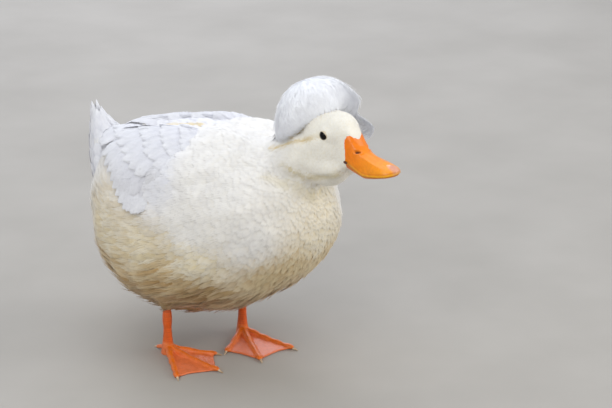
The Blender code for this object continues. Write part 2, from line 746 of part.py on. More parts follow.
def make_web(name):
    """The membrane from toe to toe, with a hollow edge, in plan, given its thickness."""
    place = foot_frame(name)
    outline = [at(-0.001, 0, 0)]
    toes = ("inner", "middle", "outer")
    steps = 5
    for first, second in zip(toes, toes[1:]):
        low = toe_way(name, first) * TOE_LENGTH[first] * 0.97
        high = toe_way(name, second) * TOE_LENGTH[second] * 0.97
        for i in range(steps + (second == toes[-1])):
            t = i / steps
            hollow = 1 - WEB_SCALLOP * math.sin(math.pi * t)
            outline.append((low * (1 - t) + high * t) * hollow)
    return loft(
        "web", [[place @ (p + Vector((0, 0, up))) for p in outline] for up in (-0.001, WEB_THICKNESS)]
    )


def below_floor():
    bpy.ops.mesh.primitive_cube_add(size=1)
    ground = bpy.context.object
    ground.data.transform(Matrix.Translation((0, 0, GROUND - 0.5)))
    return ground


def make_foot(name):
    """Three webbed toes and the small hind toe on one ankle, flat where they meet the ground."""
    place = foot_frame(name)
    bpy.ops.mesh.primitive_cone_add(
        vertices=14, radius1=ANKLE_RADIUS * 1.1, radius2=ANKLE_RADIUS * 0.85, depth=SHANK_FOOT - GAP,
    )
    foot = bpy.context.object
    foot.name = "foot_" + name
    foot.data.transform(place @ Matrix.Translation((0, 0, (SHANK_FOOT - GAP) / 2)))
    pieces = [make_web(name)]
    for toe, knuckles in (("inner", 2), ("middle", 3), ("outer", 4)):
        way = toe_way(name, toe)
        pieces.append(
            knuckled("toe", way * 0.0, way, TOE_LENGTH[toe], 0.0045, TOE_RADIUS, knuckles, place)
        )
    pieces.append(make_hallux(name))
    boolean(foot, pieces, "UNION")
    boolean(foot, [below_floor()], "DIFFERENCE")
    keep_largest(foot)
    return foot


def hallux_ends():
    start = at(0, 0, HALLUX_HEIGHT - 0.004)
    return start, start + at(-HALLUX_LENGTH, 0, -0.0052)


def make_hallux(name):
    start, tip = hallux_ends()
    place = foot_frame(name)
    rows = []
    for i in range(5):
        t = i / 4
        radius = HALLUX_RADIUS[0] + (HALLUX_RADIUS[1] - HALLUX_RADIUS[0]) * t
        here = start * (1 - t) + tip * t
        rows.append([place @ (here + Vector((x, 0, y))) for x, y in oval(8, radius, radius, radius, 2.0)])
    return loft("hallux", rows)


def make_claw(name, toe, foot):
    """A curved nail on the end of a toe, its point just off the ground."""
    place = foot_frame(name)
    if toe == "hind":
        way, radius = at(-1, 0, 0), HALLUX_RADIUS[1]
        start = hallux_ends()[1] + at(0.003, 0, 0)
    else:
        way, radius = toe_way(name, toe), TOE_RADIUS[1]
        start = way * (TOE_LENGTH[toe] - 0.003) + Vector((0, 0, radius * 0.95))
    across = way.cross(Vector((0, 0, 1)))
    length = CLAW_LENGTH * (0.6 if toe == "hind" else 1.0) + 0.003
    rows = []
    for i in range(5):
        t = i / 4
        size = radius * 0.80 * (1 - 0.86 * t * t)
        here = start + way * (length * t) - Vector((0, 0, (radius * 0.72) * t * t))
        section = oval(7, size, size, size, 2.0)
        rows.append([place @ (here + across * x + Vector((0, 0, y))) for x, y in section])
    claw = loft("_".join(("claw", name, toe)), rows)
    boolean(claw, [swollen(foot)], "DIFFERENCE")
    keep_largest(claw)


def finish(target, name):
    """Gives a node its material and smooth shading."""
    slot = "plumage"
    for word, other in SLOTS.items():
        if name.startswith(word):
            slot = other
    material = bpy.data.materials.get(slot) or bpy.data.materials.new(slot)
    material.use_nodes = True
    shader = material.node_tree.nodes["Principled BSDF"]
    shader.inputs["Base Color"].default_value = (*COLOURS[slot], 1.0)
    shader.inputs["Roughness"].default_value = ROUGHNESS[slot]
    target.data.materials.clear()
    target.data.materials.append(material)
    target.data.shade_smooth()
    target.data.set_sharp_from_angle(angle=math.radians(50))


def set_down(bird):
    """Moves the whole bird so that the middle of its outline is over the origin, its soles on zero."""
    corners = [target.matrix_world @ vertex.co for target in bird for vertex in target.data.vertices]
    middle = [(min(p[i] for p in corners) + max(p[i] for p in corners)) / 2 for i in (0, 1)]
    for target in bird:
        target.data.transform(Matrix.Translation((-middle[0], -middle[1], -GROUND)))


def main():
    for leftover in list(bpy.data.objects):
        bpy.data.objects.remove(leftover)
    torso = make_torso()
    eyes = [make_eye(name, sign) for name, sign in SIDES.items()]
    head = make_head(torso, eyes)
    neck = make_neck(torso, head)
    make_bill(head)
    make_crest(head, neck, torso, eyes)
    make_tail(torso)
    for name, sign in SIDES.items():
        make_wing(name, sign, torso, neck)
    for name in SIDES:
        foot = make_foot(name)
        make_shank(name, make_thigh(name, torso), foot)
        for toe in ("inner", "middle", "outer", "hind"):
            make_claw(name, toe, foot)
    bird = [target for target in bpy.context.scene.objects if target.type == "MESH"]
    group = bpy.data.collections.new("crested_duck")
    bpy.context.scene.collection.children.link(group)
    for target in bird:
        for home in list(target.users_collection):
            home.objects.unlink(target)
        group.objects.link(target)
        finish(target, target.name)
    set_down(bird)


main()
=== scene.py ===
"""The looks of a crested duck in white plumage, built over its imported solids.

Metres. The bird faces -Y and its left side is +X. Places are given as the part's source gives
them, in the bird's own measures: forward, to its left, and up. SET_DOWN carries them to where
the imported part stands.
"""

import math

import bmesh
import bpy
import numpy as np
from mathutils import Matrix, Vector
from mathutils.bvhtree import BVHTree


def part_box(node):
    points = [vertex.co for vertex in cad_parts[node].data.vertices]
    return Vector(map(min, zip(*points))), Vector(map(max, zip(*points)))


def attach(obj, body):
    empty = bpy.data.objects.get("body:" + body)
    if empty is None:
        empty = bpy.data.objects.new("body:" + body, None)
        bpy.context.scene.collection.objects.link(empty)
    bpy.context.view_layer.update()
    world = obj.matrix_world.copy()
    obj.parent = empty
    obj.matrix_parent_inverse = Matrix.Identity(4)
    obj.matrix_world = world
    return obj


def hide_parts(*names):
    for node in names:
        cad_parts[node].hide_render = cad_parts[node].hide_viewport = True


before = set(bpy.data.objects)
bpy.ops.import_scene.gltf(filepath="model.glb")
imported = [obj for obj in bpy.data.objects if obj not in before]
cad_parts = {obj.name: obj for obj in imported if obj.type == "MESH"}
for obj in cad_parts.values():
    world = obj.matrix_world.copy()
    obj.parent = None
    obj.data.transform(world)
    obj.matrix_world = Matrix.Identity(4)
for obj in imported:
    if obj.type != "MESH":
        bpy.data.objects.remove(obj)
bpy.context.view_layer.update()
SEED = 20

# The part's driving sizes, in metres and radians.
TORSO_MIDDLE = (-0.006, 0.0, 0.150)
TORSO_HALF_LENGTH = 0.160
TORSO_TILT = math.radians(18)
TORSO_HALF_WIDTH = (0.089, 0.105, 0.098)
TORSO_ABOVE = (0.134, 0.102, 0.094)
TORSO_BELOW = (0.108, 0.110, 0.089)
TORSO_END_POWER = 2.5
TORSO_SIDE_POWER = 2.15
RUMP_START = (-0.112, 0.0, 0.165)
RUMP_BEND = (-0.157, 0.0, 0.176)
RUMP_END = (-0.179, 0.0, 0.218)
RUMP_HALF_WIDTH = (0.062, 0.0135)
RUMP_HALF_DEPTH = (0.052, 0.0115)
HEAD_CENTRE = (0.156, 0.0, 0.268)
HEAD_TURN = math.radians(3)
HEAD_PITCH = math.radians(6)
HEAD_HALF_LENGTH = 0.0355
HEAD_HALF_WIDTH = (0.0240, 0.0275, 0.0210)
HEAD_ABOVE = (0.0290, 0.0350, 0.0270)
HEAD_BELOW = (0.0330, 0.0420, 0.0260)
CHEEK_SWELL = 0.16
EYE_PLACE = (0.0103, 0.0230, 0.0150)
BILL_BASE = (0.0180, 0.0, -0.0075)
BILL_PITCH = math.radians(-1)
BILL_LENGTH = 0.0755
BILL_HALF_WIDTH = (
    (0.0, 0.0150), (0.30, 0.0130), (0.50, 0.0124), (0.78, 0.0142), (0.90, 0.0124), (0.96, 0.0092),
    (1.0, 0.0045),
)
BILL_HEIGHT = (
    (0.0, 0.0310), (0.12, 0.0305), (0.22, 0.0268), (0.30, 0.0200), (0.38, 0.0138), (0.46, 0.0101),
    (0.60, 0.0077), (0.80, 0.0054), (0.92, 0.0040), (1.0, 0.0022),
)
BILL_SQUARE = ((0.0, 3.8), (0.25, 3.2), (0.45, 2.7), (1.0, 2.4))
MANDIBLE_HALF_WIDTH = (
    (0.0, 0.0148), (0.30, 0.0128), (0.50, 0.0120), (0.78, 0.0138), (0.91, 0.0115), (0.98, 0.0050),
)
MANDIBLE_DEPTH = ((0.0, 0.0100), (0.30, 0.0085), (0.50, 0.0052), (0.78, 0.0030), (1.0, 0.0018))
BILL_DROOP = (
    (0.0, 0.0), (0.16, 0.0020), (0.25, 0.0038), (0.32, 0.0057), (0.395, 0.0078), (0.475, 0.0099),
    (0.55, 0.0108), (0.685, 0.0086), (0.83, 0.0055), (0.93, 0.0034), (1.0, 0.0014),
)
NOSTRIL_FORWARD = 0.0290
NOSTRIL_ANGLE = math.radians(52)
NOSTRIL_RADIUS = 0.0135
NOSTRIL_HALF = (0.0024, 0.0016)
NAIL_PLACE = (0.0712, 0.0, 0.0020)
CREST_CENTRE = (-0.0218, 0.0040, 0.0164)
CREST_RADII = (0.0470, 0.0480, 0.0415)
CREST_PITCH = math.radians(-34)
CREST_CORE = 0.48
CREST_LOBE_TURN = 60
CREST_LOBE_SPREAD = 25
WING_OUTLINE = (
    (-0.110, 7, 26), (-0.085, 5, 42), (-0.050, 4, 60), (0.000, 4, 66),
    (0.040, 5, 62), (0.075, 7, 56), (0.098, 12, 50), (0.110, 22, 42),
)
WING_THICKNESS = 0.0070
WING_SINK = 0.0030
WING_TIP_LIFT = 0.013
WING_TIP_REACH = (-0.030, -0.110)
TAIL_PITCH = math.radians(62)
TAIL_LENGTH = 0.027
TAIL_ROOT = 0.030
TAIL_HALF_WIDTH = 0.0125
GROUND = -0.008
FOOT_SIDE = {"right": -0.054, "left": 0.038}
FOOT_FORWARD = {"right": -0.031, "left": -0.001}
TOE_TURN = {"right": math.radians(2), "left": math.radians(34)}
TOE_LENGTH = {"inner": 0.049, "middle": 0.072, "outer": 0.066}
TOE_SPREAD = {"inner": math.radians(34), "middle": 0.0, "outer": math.radians(-37)}
SIDES = {"left": 1, "right": -1}


def at(forward, side, up):
    """A point from its distance forward, to the bird's left, and up."""
    return Vector((side, -forward, up))


def frame_at(place, turn=0.0, pitch=0.0):
    """A frame whose forward axis is turned to the bird's right and pitched down."""
    return (
        Matrix.Translation(at(*place))
        @ Matrix.Rotation(-turn, 4, "Z")
        @ Matrix.Rotation(pitch, 4, "X")
    )


def set_down():
    """The move from the bird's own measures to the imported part, found from its eyes."""
    head = frame_at(HEAD_CENTRE, HEAD_TURN, HEAD_PITCH)
    forward, side, up = EYE_PLACE
    move = Vector()
    for name, sign in SIDES.items():
        low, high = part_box("eye_" + name)
        move += ((low + high) / 2 - head @ at(forward, sign * side, up)) / 2
    return move


SET_DOWN = set_down()
HOME = Matrix.Translation(SET_DOWN)
TORSO = HOME @ frame_at(TORSO_MIDDLE, pitch=-TORSO_TILT)
HEAD = HOME @ frame_at(HEAD_CENTRE, HEAD_TURN, HEAD_PITCH)
BILL = HEAD @ frame_at(BILL_BASE, pitch=BILL_PITCH)
CREST = HEAD @ frame_at(CREST_CENTRE, pitch=CREST_PITCH)
TAIL = HOME @ frame_at(RUMP_END, turn=math.pi, pitch=-TAIL_PITCH)


def between(low, middle, high, s):
    """The parabola through three sizes, at s from -1 to 1."""
    return middle + s * (high - low) / 2 + s * s * ((high + low) / 2 - middle)


def along(stations, t):
    """Smooth values between (position, value) stations."""
    last = len(stations) - 1
    i = min(max(sum(1 for place, _ in stations if place <= t) - 1, 0), last - 1)
    before, low, high, after = (stations[min(max(i + k, 0), last)] for k in (-1, 0, 1, 2))
    span = high[0] - low[0]
    f = min(max((t - low[0]) / span, 0.0), 1.0)
    slope_low = span * (high[1] - before[1]) / max(high[0] - before[0], 1e-9)
    slope_high = span * (after[1] - low[1]) / max(after[0] - low[0], 1e-9)
    return (
        (2 * f**3 - 3 * f**2 + 1) * low[1]
        + (f**3 - 2 * f**2 + f) * slope_low
        + (3 * f**2 - 2 * f**3) * high[1]
        + (f**3 - f**2) * slope_high
    )


def bend(start, middle, end, t):
    """A point on the quadratic curve from start, drawn towards middle, to end."""
    return start * (1 - t) ** 2 + middle * 2 * t * (1 - t) + end * t * t


def step_down(place, softness):
    """1 well below 0 and 0 well above it."""
    return 1 / (1 + math.exp(min(place / softness, 60.0)))


def unit(rows):
    """Each row of an array made one long."""
    return rows / np.maximum(np.linalg.norm(rows, axis=-1, keepdims=True), 1e-12)


def bird_measures(points):
    """World points as (forward, left, up) rows in the bird's own measures."""
    moved = np.asarray(points, float) - np.array(SET_DOWN)
    return np.stack([-moved[:, 1], moved[:, 0], moved[:, 2]], axis=1)


def world_ways(rows):
    """(forward, left, up) directions as world directions."""
    return np.stack([rows[:, 1], -rows[:, 0], rows[:, 2]], axis=1)


def colour(hex_value):
    """A linear colour from an sRGB hex value."""
    channels = [int(hex_value[i:i + 2], 16) / 255 for i in (0, 2, 4)]
    return tuple(c / 12.92 if c <= 0.04045 else ((c + 0.055) / 1.055) ** 2.4 for c in channels)


def in_frame(place, points):
    """World points as rows along a frame's own axes."""
    back = np.array(place.inverted())
    return points @ back[:3, :3].T + back[:3, 3]


def ways_in_frame(place, ways):
    """World directions as rows along a frame's own axes."""
    return ways @ np.array(place.inverted())[:3, :3].T


def signed_power(value, power):
    return math.copysign(abs(value) ** power, value)


def hump(value, middle, width):
    """1 at the middle, falling to 0 on both sides of it."""
    return math.exp(-(((value - middle) / width) ** 2))


def mixed(first, second, share):
    """Between two values or colours, the first at a share of 0 and the second at 1."""
    return first * (1 - share) + second * share


# Meshes.


def link(made):
    bpy.context.scene.collection.objects.link(made)
    return made


def paint(data, tints):
    """Gives a mesh its tints: one linear colour for each of its points."""
    layer = data.color_attributes.new("tint", "FLOAT_COLOR", "POINT")
    full = np.concatenate([tints, np.ones((len(tints), 1))], axis=1)
    layer.data.foreach_set("color", full.astype(np.float32).ravel())


def mesh_object(name, points, quads, material, tints, bake, vane, normals, facing):
    """One mesh from arrays of points and four-cornered faces, where a corner may repeat to give a
    triangle. Normals shade the upper faces, and facing is -1 for the faces of the underside."""
    quads = np.asarray(quads, np.int64)
    three = quads[:, 3] == quads[:, 2]
    sizes = np.where(three, 3, 4)
    keep = np.ones(quads.shape, bool)
    keep[:, 3] = ~three
    corners = quads[keep].astype(np.int32)
    starts = np.concatenate([[0], np.cumsum(sizes)[:-1]]).astype(np.int32)
    data = bpy.data.meshes.new(name)
    data.vertices.add(len(points))
    data.vertices.foreach_set("co", np.asarray(points, np.float32).ravel())
    data.loops.add(len(corners))
    data.loops.foreach_set("vertex_index", corners)
    data.polygons.add(len(quads))
    data.polygons.foreach_set("loop_start", starts)
    data.polygons.foreach_set("loop_total", sizes.astype(np.int32))
    data.update(calc_edges=True)
    paint(data, tints)
    for label, places in (("OFBake", bake), ("vane", vane)):
        data.uv_layers.new(name=label)
        data.uv_layers[label].data.foreach_set("uv", places[corners].astype(np.float32).ravel())
    data.materials.append(material)
    data.shade_smooth()
    data.normals_split_custom_set(normals[corners] * np.repeat(facing, sizes)[:, None])
    return link(bpy.data.objects.new(name, data))


def reworked(data, change):
    """Changes a mesh in place through its edit form."""
    mesh = bmesh.new()
    mesh.from_mesh(data)
    change(mesh)
    mesh.to_mesh(data)
    mesh.free()


def facing_out(mesh):
    bmesh.ops.recalc_face_normals(mesh, faces=mesh.faces)


def merged(mesh, gap):
    bmesh.ops.remove_doubles(mesh, verts=mesh.verts, dist=gap)


def loft(name, rings, caps=True):
    """A closed skin over rings of world points."""
    count = len(rings[0])
    points = [p for ring in rings for p in ring]
    faces = []
    for i in range(len(rings) - 1):
        for k in range(count):
            n = (k + 1) % count
            faces.append((i * count + k, i * count + n, (i + 1) * count + n, (i + 1) * count + k))
    data = bpy.data.meshes.new(name)
    if caps:
        faces.append(tuple(reversed(range(count))))
        faces.append(tuple(range(len(points) - count, len(points))))
    data.from_pydata(points, [], faces)
    reworked(data, facing_out)
    data.shade_smooth()
    return link(bpy.data.objects.new(name, data))


EGG_RINGS = 28
EGG_POINTS = 44


def egg(place, half_length, widths, aboves, belows, power, side_power, swell):
    """An egg round a frame's forward axis, its lower half widened by swell."""
    rows = []
    for i in range(1, EGG_RINGS):
        s = -math.cos(math.pi * i / EGG_RINGS)
        cap = (1 - abs(s) ** power) ** (1 / power)
        width, above, below = (between(*sizes, s) * cap for sizes in (widths, aboves, belows))
        row = []
        for k in range(EGG_POINTS):
            angle = 2 * math.pi * (k + 0.5) / EGG_POINTS
            across, rise = math.cos(angle), math.sin(angle)
            side = signed_power(across, 2 / side_power) * width * (1 - swell * rise)
            up = signed_power(rise, 2 / side_power) * (above if rise > 0 else below)
            row.append(place @ at(s * half_length, side, up))
        rows.append(row)
    return loft("form", rows)


def ball(place, size, segments=32, rings=20):
    """An ellipsoid sized forward, side and up, in a frame."""
    forward, side, up = size
    bpy.ops.mesh.primitive_uv_sphere_add(segments=segments, ring_count=rings, radius=1)
    made = bpy.context.object
    made.data.transform(place @ Matrix.Diagonal((side, forward, up, 1)))
    return made


def cad_copy(node):
    """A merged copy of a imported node's mesh, free to be reshaped."""
    made = link(bpy.data.objects.new(node + "_copy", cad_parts[node].data.copy()))
    reworked(made.data, lambda mesh: merged(mesh, 1e-5))
    made.data.materials.clear()
    return made


def apply_modifiers(target):
    graph = bpy.context.evaluated_depsgraph_get()
    made = bpy.data.meshes.new_from_object(target.evaluated_get(graph))
    target.modifiers.clear()
    target.data = made


def joined(name, pieces):
    """The pieces as one object, their meshes unchanged."""
    mesh = bmesh.new()
    for piece in pieces:
        mesh.from_mesh(piece.data)
        bpy.data.objects.remove(piece)
    data = bpy.data.meshes.new(name)
    mesh.to_mesh(data)
    mesh.free()
    return link(bpy.data.objects.new(name, data))


def largest_only(mesh):
    """Deletes all but the surface with the most points."""
    unseen, shells = set(mesh.verts), []
    while unseen:
        stack, shell = [unseen.pop()], []
        while stack:
            vertex = stack.pop()
            shell.append(vertex)
            for edge in vertex.link_edges:
                other = edge.other_vert(vertex)
                if other in unseen:
                    unseen.remove(other)
                    stack.append(other)
        shells.append(shell)
    shells.sort(key=len)
    bmesh.ops.delete(mesh, geom=[v for shell in shells[:-1] for v in shell], context="VERTS")


def remeshed(target, swell, voxel, rounds):
    """Makes target one even skin. Its solids stand a little apart, so each first swells to close the gaps."""
    close = target.modifiers.new("close", "DISPLACE")
    close.mid_level = 0.0
    close.strength = swell
    skin_over = target.modifiers.new("skin", "REMESH")
    skin_over.mode = "VOXEL"
    skin_over.voxel_size = voxel
    smooth = target.modifiers.new("even", "SMOOTH")
    smooth.factor = 0.5
    smooth.iterations = rounds
    apply_modifiers(target)
    reworked(target.data, largest_only)


def read_rows(target, key):
    rows = np.empty(len(target.data.vertices) * 3)
    target.data.vertices.foreach_get(key, rows)
    return rows.reshape(-1, 3)


def points_of(target):
    return read_rows(target, "co")


def normals_of(target):
    return read_rows(target, "normal")


def put_points(target, points):
    target.data.vertices.foreach_set("co", np.asarray(points, np.float32).ravel())
    target.data.update()


def dressed(target, name, material, slot, *nodes):
    """Names a finished piece, gives it its material, hangs it under the root body, and hides the imported
    solids that it stands for.
    """
    target.name = name
    target.data.materials.clear()
    target.data.materials.append(material)
    target.data.shade_smooth()
    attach(target, "root")
    if nodes:
        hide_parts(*nodes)


# Materials.


WHITE = (1.0, 1.0, 1.0)


def add_node(tree, kind, settings=(), **links):
    """Adds a node, sets its properties, and feeds its inputs from values or from other nodes' sockets."""
    made = tree.nodes.new(kind)
    for key, value in dict(settings).items():
        setattr(made, key, value)
    for key, value in links.items():
        socket = made.inputs[key]
        if isinstance(value, bpy.types.NodeSocket):
            tree.links.new(value, socket)
        else:
            socket.default_value = value
    return made


def new_material(name, **finish):
    """A material with its finish given by the names of the shader's own sockets."""
    made = bpy.data.materials.new(name)
    made.use_nodes = True
    shader = made.node_tree.nodes["Principled BSDF"]
    for socket, value in finish.items():
        shader.inputs[socket.replace("_", " ")].default_value = value
    return made, made.node_tree, shader


def noise(tree, scale, detail=3.0, stretch=(1, 1, 1)):
    """Noise on object coordinates, its scale in lumps per metre."""
    coords = add_node(tree, "ShaderNodeTexCoord")
    turned = add_node(tree, "ShaderNodeMapping", Vector=coords.outputs["Object"], Scale=stretch)
    return add_node(
        tree, "ShaderNodeTexNoise", Vector=turned.outputs["Vector"], Scale=scale, Detail=detail
    ).outputs["Fac"]


def ramp(tree, factor, stops):
    """A colour ramp with (place, linear colour) stops."""
    made = add_node(tree, "ShaderNodeValToRGB", Fac=factor)
    bar = made.color_ramp
    while len(bar.elements) < len(stops):
        bar.elements.new(0.5)
    for element, (place, value) in zip(bar.elements, stops):
        element.position = place
        element.color = (*value, 1.0)
    return made.outputs["Color"]


def multiply(tree, first, second, share=1.0):
    made = add_node(tree, "ShaderNodeMix", {"data_type": "RGBA", "blend_type": "MULTIPLY"})
    made.inputs[0].default_value = share
    tree.links.new(first, made.inputs[6])
    tree.links.new(second, made.inputs[7])
    return made.outputs[2]


def point_tints(tree):
    """The tints that a piece's points carry."""
    return add_node(tree, "ShaderNodeAttribute", {"attribute_name": "tint"}).outputs["Color"]


def coloured(tree, shader, colours):
    tree.links.new(colours, shader.inputs["Base Color"])


def bump(tree, shader, height, depth, strength):
    made = add_node(tree, "ShaderNodeBump", Height=height, Distance=depth, Strength=strength)
    tree.links.new(made.outputs["Normal"], shader.inputs["Normal"])


def plumage(name, barbs=None, **more):
    """Feather keratin: matt, with a soft sheen from its barbs. Its tints, painted shade among them, ride on
    the tint attribute.
    """
    made, tree, shader = new_material(
        name, Roughness=0.82, Specular_IOR_Level=0.25, Sheen_Weight=0.20, **more
    )
    grey = ramp(tree, noise(tree, 90.0), ((0.3, (0.93, 0.93, 0.94)), (0.7, WHITE)))
    coloured(tree, shader, multiply(tree, point_tints(tree), grey))
    if barbs:
        # Barbs lie about 0.5 mm apart, drawn at 1 mm so that they show at this size.
        places = add_node(tree, "ShaderNodeUVMap", {"uv_map": "vane"})
        waves = add_node(
            tree, "ShaderNodeTexWave", {"bands_direction": "DIAGONAL"},
            Vector=places.outputs["UV"], Scale=barbs, Distortion=0.6, Detail=1.0,
        )
        bump(tree, shader, waves.outputs["Fac"], 0.0002, 0.5)
    return made


def bill_material():
    """Living bill: a soft leathery sheath over bone, satin, with fine pores and wrinkles 0.8 mm apart."""
    made, tree, shader = new_material(
        "bill_sheath_satin_keratin", Roughness=0.32, Specular_IOR_Level=0.22, Coat_Weight=0.45,
        Coat_Roughness=0.06,
    )
    mottle = ramp(tree, noise(tree, 260.0), ((0.25, (0.86, 0.82, 0.78)), (0.65, WHITE)))
    coloured(tree, shader, multiply(tree, point_tints(tree), mottle))
    bump(tree, shader, noise(tree, 1250.0, 2.0, (1.0, 0.4, 1.0)), 0.00012, 0.5)
    return made


def leg_material():
    """Skin of the leg and web, lightly waxy, with small plates about 1.3 mm across."""
    made, tree, shader = new_material(
        "leg_scutes_waxy_skin", Roughness=0.40, Coat_Weight=0.12, Coat_Roughness=0.3,
    )
    cells = add_node(
        tree, "ShaderNodeTexVoronoi", {"feature": "DISTANCE_TO_EDGE"},
        Vector=add_node(tree, "ShaderNodeTexCoord").outputs["Object"], Scale=760.0,
    )
    seams = ramp(tree, cells.outputs["Distance"], ((0.0, (0.62, 0.52, 0.50)), (0.16, WHITE)))
    shade = multiply(tree, point_tints(tree), seams, 0.4)
    dirt = ramp(tree, noise(tree, 170.0), ((0.30, (0.86, 0.80, 0.76)), (0.62, WHITE)))
    coloured(tree, shader, multiply(tree, shade, dirt))
    bump(tree, shader, cells.outputs["Distance"], 0.0010, 0.35)
    return made


def claw_material():
    """Claw horn: hard, pale and slightly see-through, with darker streaks."""
    made, tree, shader = new_material("claw_horn_polished", Roughness=0.30)
    streaks = noise(tree, 400.0, 2.0, (1.0, 0.3, 1.0))
    coloured(tree, shader, ramp(tree, streaks, ((0.3, colour("A98A68")), (0.7, colour("E3CDAE")))))
    return made


def eye_material():
    """A wet cornea over a dark brown iris, near black in daylight."""
    made, tree, shader = new_material("cornea_wet_over_dark_iris", Roughness=0.05, Specular_IOR_Level=0.22)
    flecks = ramp(tree, noise(tree, 1800.0), ((0.3, (0.5, 0.5, 0.5)), (0.7, WHITE)))
    coloured(tree, shader, multiply(tree, point_tints(tree), flecks))
    return made


def lid_material():
    """The bare rim of the lids: thin moist skin, tan with grey."""
    made, tree, shader = new_material("eyelid_bare_skin_moist", Roughness=0.45, Specular_IOR_Level=0.4)
    tones = ((0.3, colour("C4B296")), (0.7, colour("E6DAC0")))
    coloured(tree, shader, ramp(tree, noise(tree, 900.0), tones))
    return made


def gape_shade_material():
    """The moist corner of the mouth between the two halves of the bill, painted dark brown as the shade in
    that corner.
    """
    made, tree, shader = new_material("gape_moist_painted_shade", Roughness=0.35)
    tones = ((0.3, colour("38160C")), (0.7, colour("6A2C14")))
    coloured(tree, shader, ramp(tree, noise(tree, 500.0), tones))
    return made


def floor_material():
    made, tree, shader = new_material("floor_matt_board", Roughness=0.9, Specular_IOR_Level=0.2)
    tones = ((0.3, colour("A8A49D")), (0.7, colour("B0ACA5")))
    coloured(tree, shader, ramp(tree, noise(tree, 6.0), tones))
    return made


CONTOUR = plumage("contour_feathers_matt_keratin")
QUILLED = plumage("vaned_feathers_matt_keratin", barbs=60.0)
SKIN_DOWN = plumage("down_over_skin_matt")
# Painted light: the crest's strands glow a little, an emission that stands in for the light a loose mop
# scatters within itself and solid strands would shut out.
GLOWING_MOP_STRANDS = plumage(
    "crest_feathers_keratin_glowing", Emission_Color=(*colour("FAFAFD"), 1.0), Emission_Strength=0.07
)
BILL_SHEATH = bill_material()
LEG_SKIN = leg_material()
CLAW_HORN = claw_material()
EYE = eye_material()
LID = lid_material()
GAPE_SHADE = gape_shade_material()
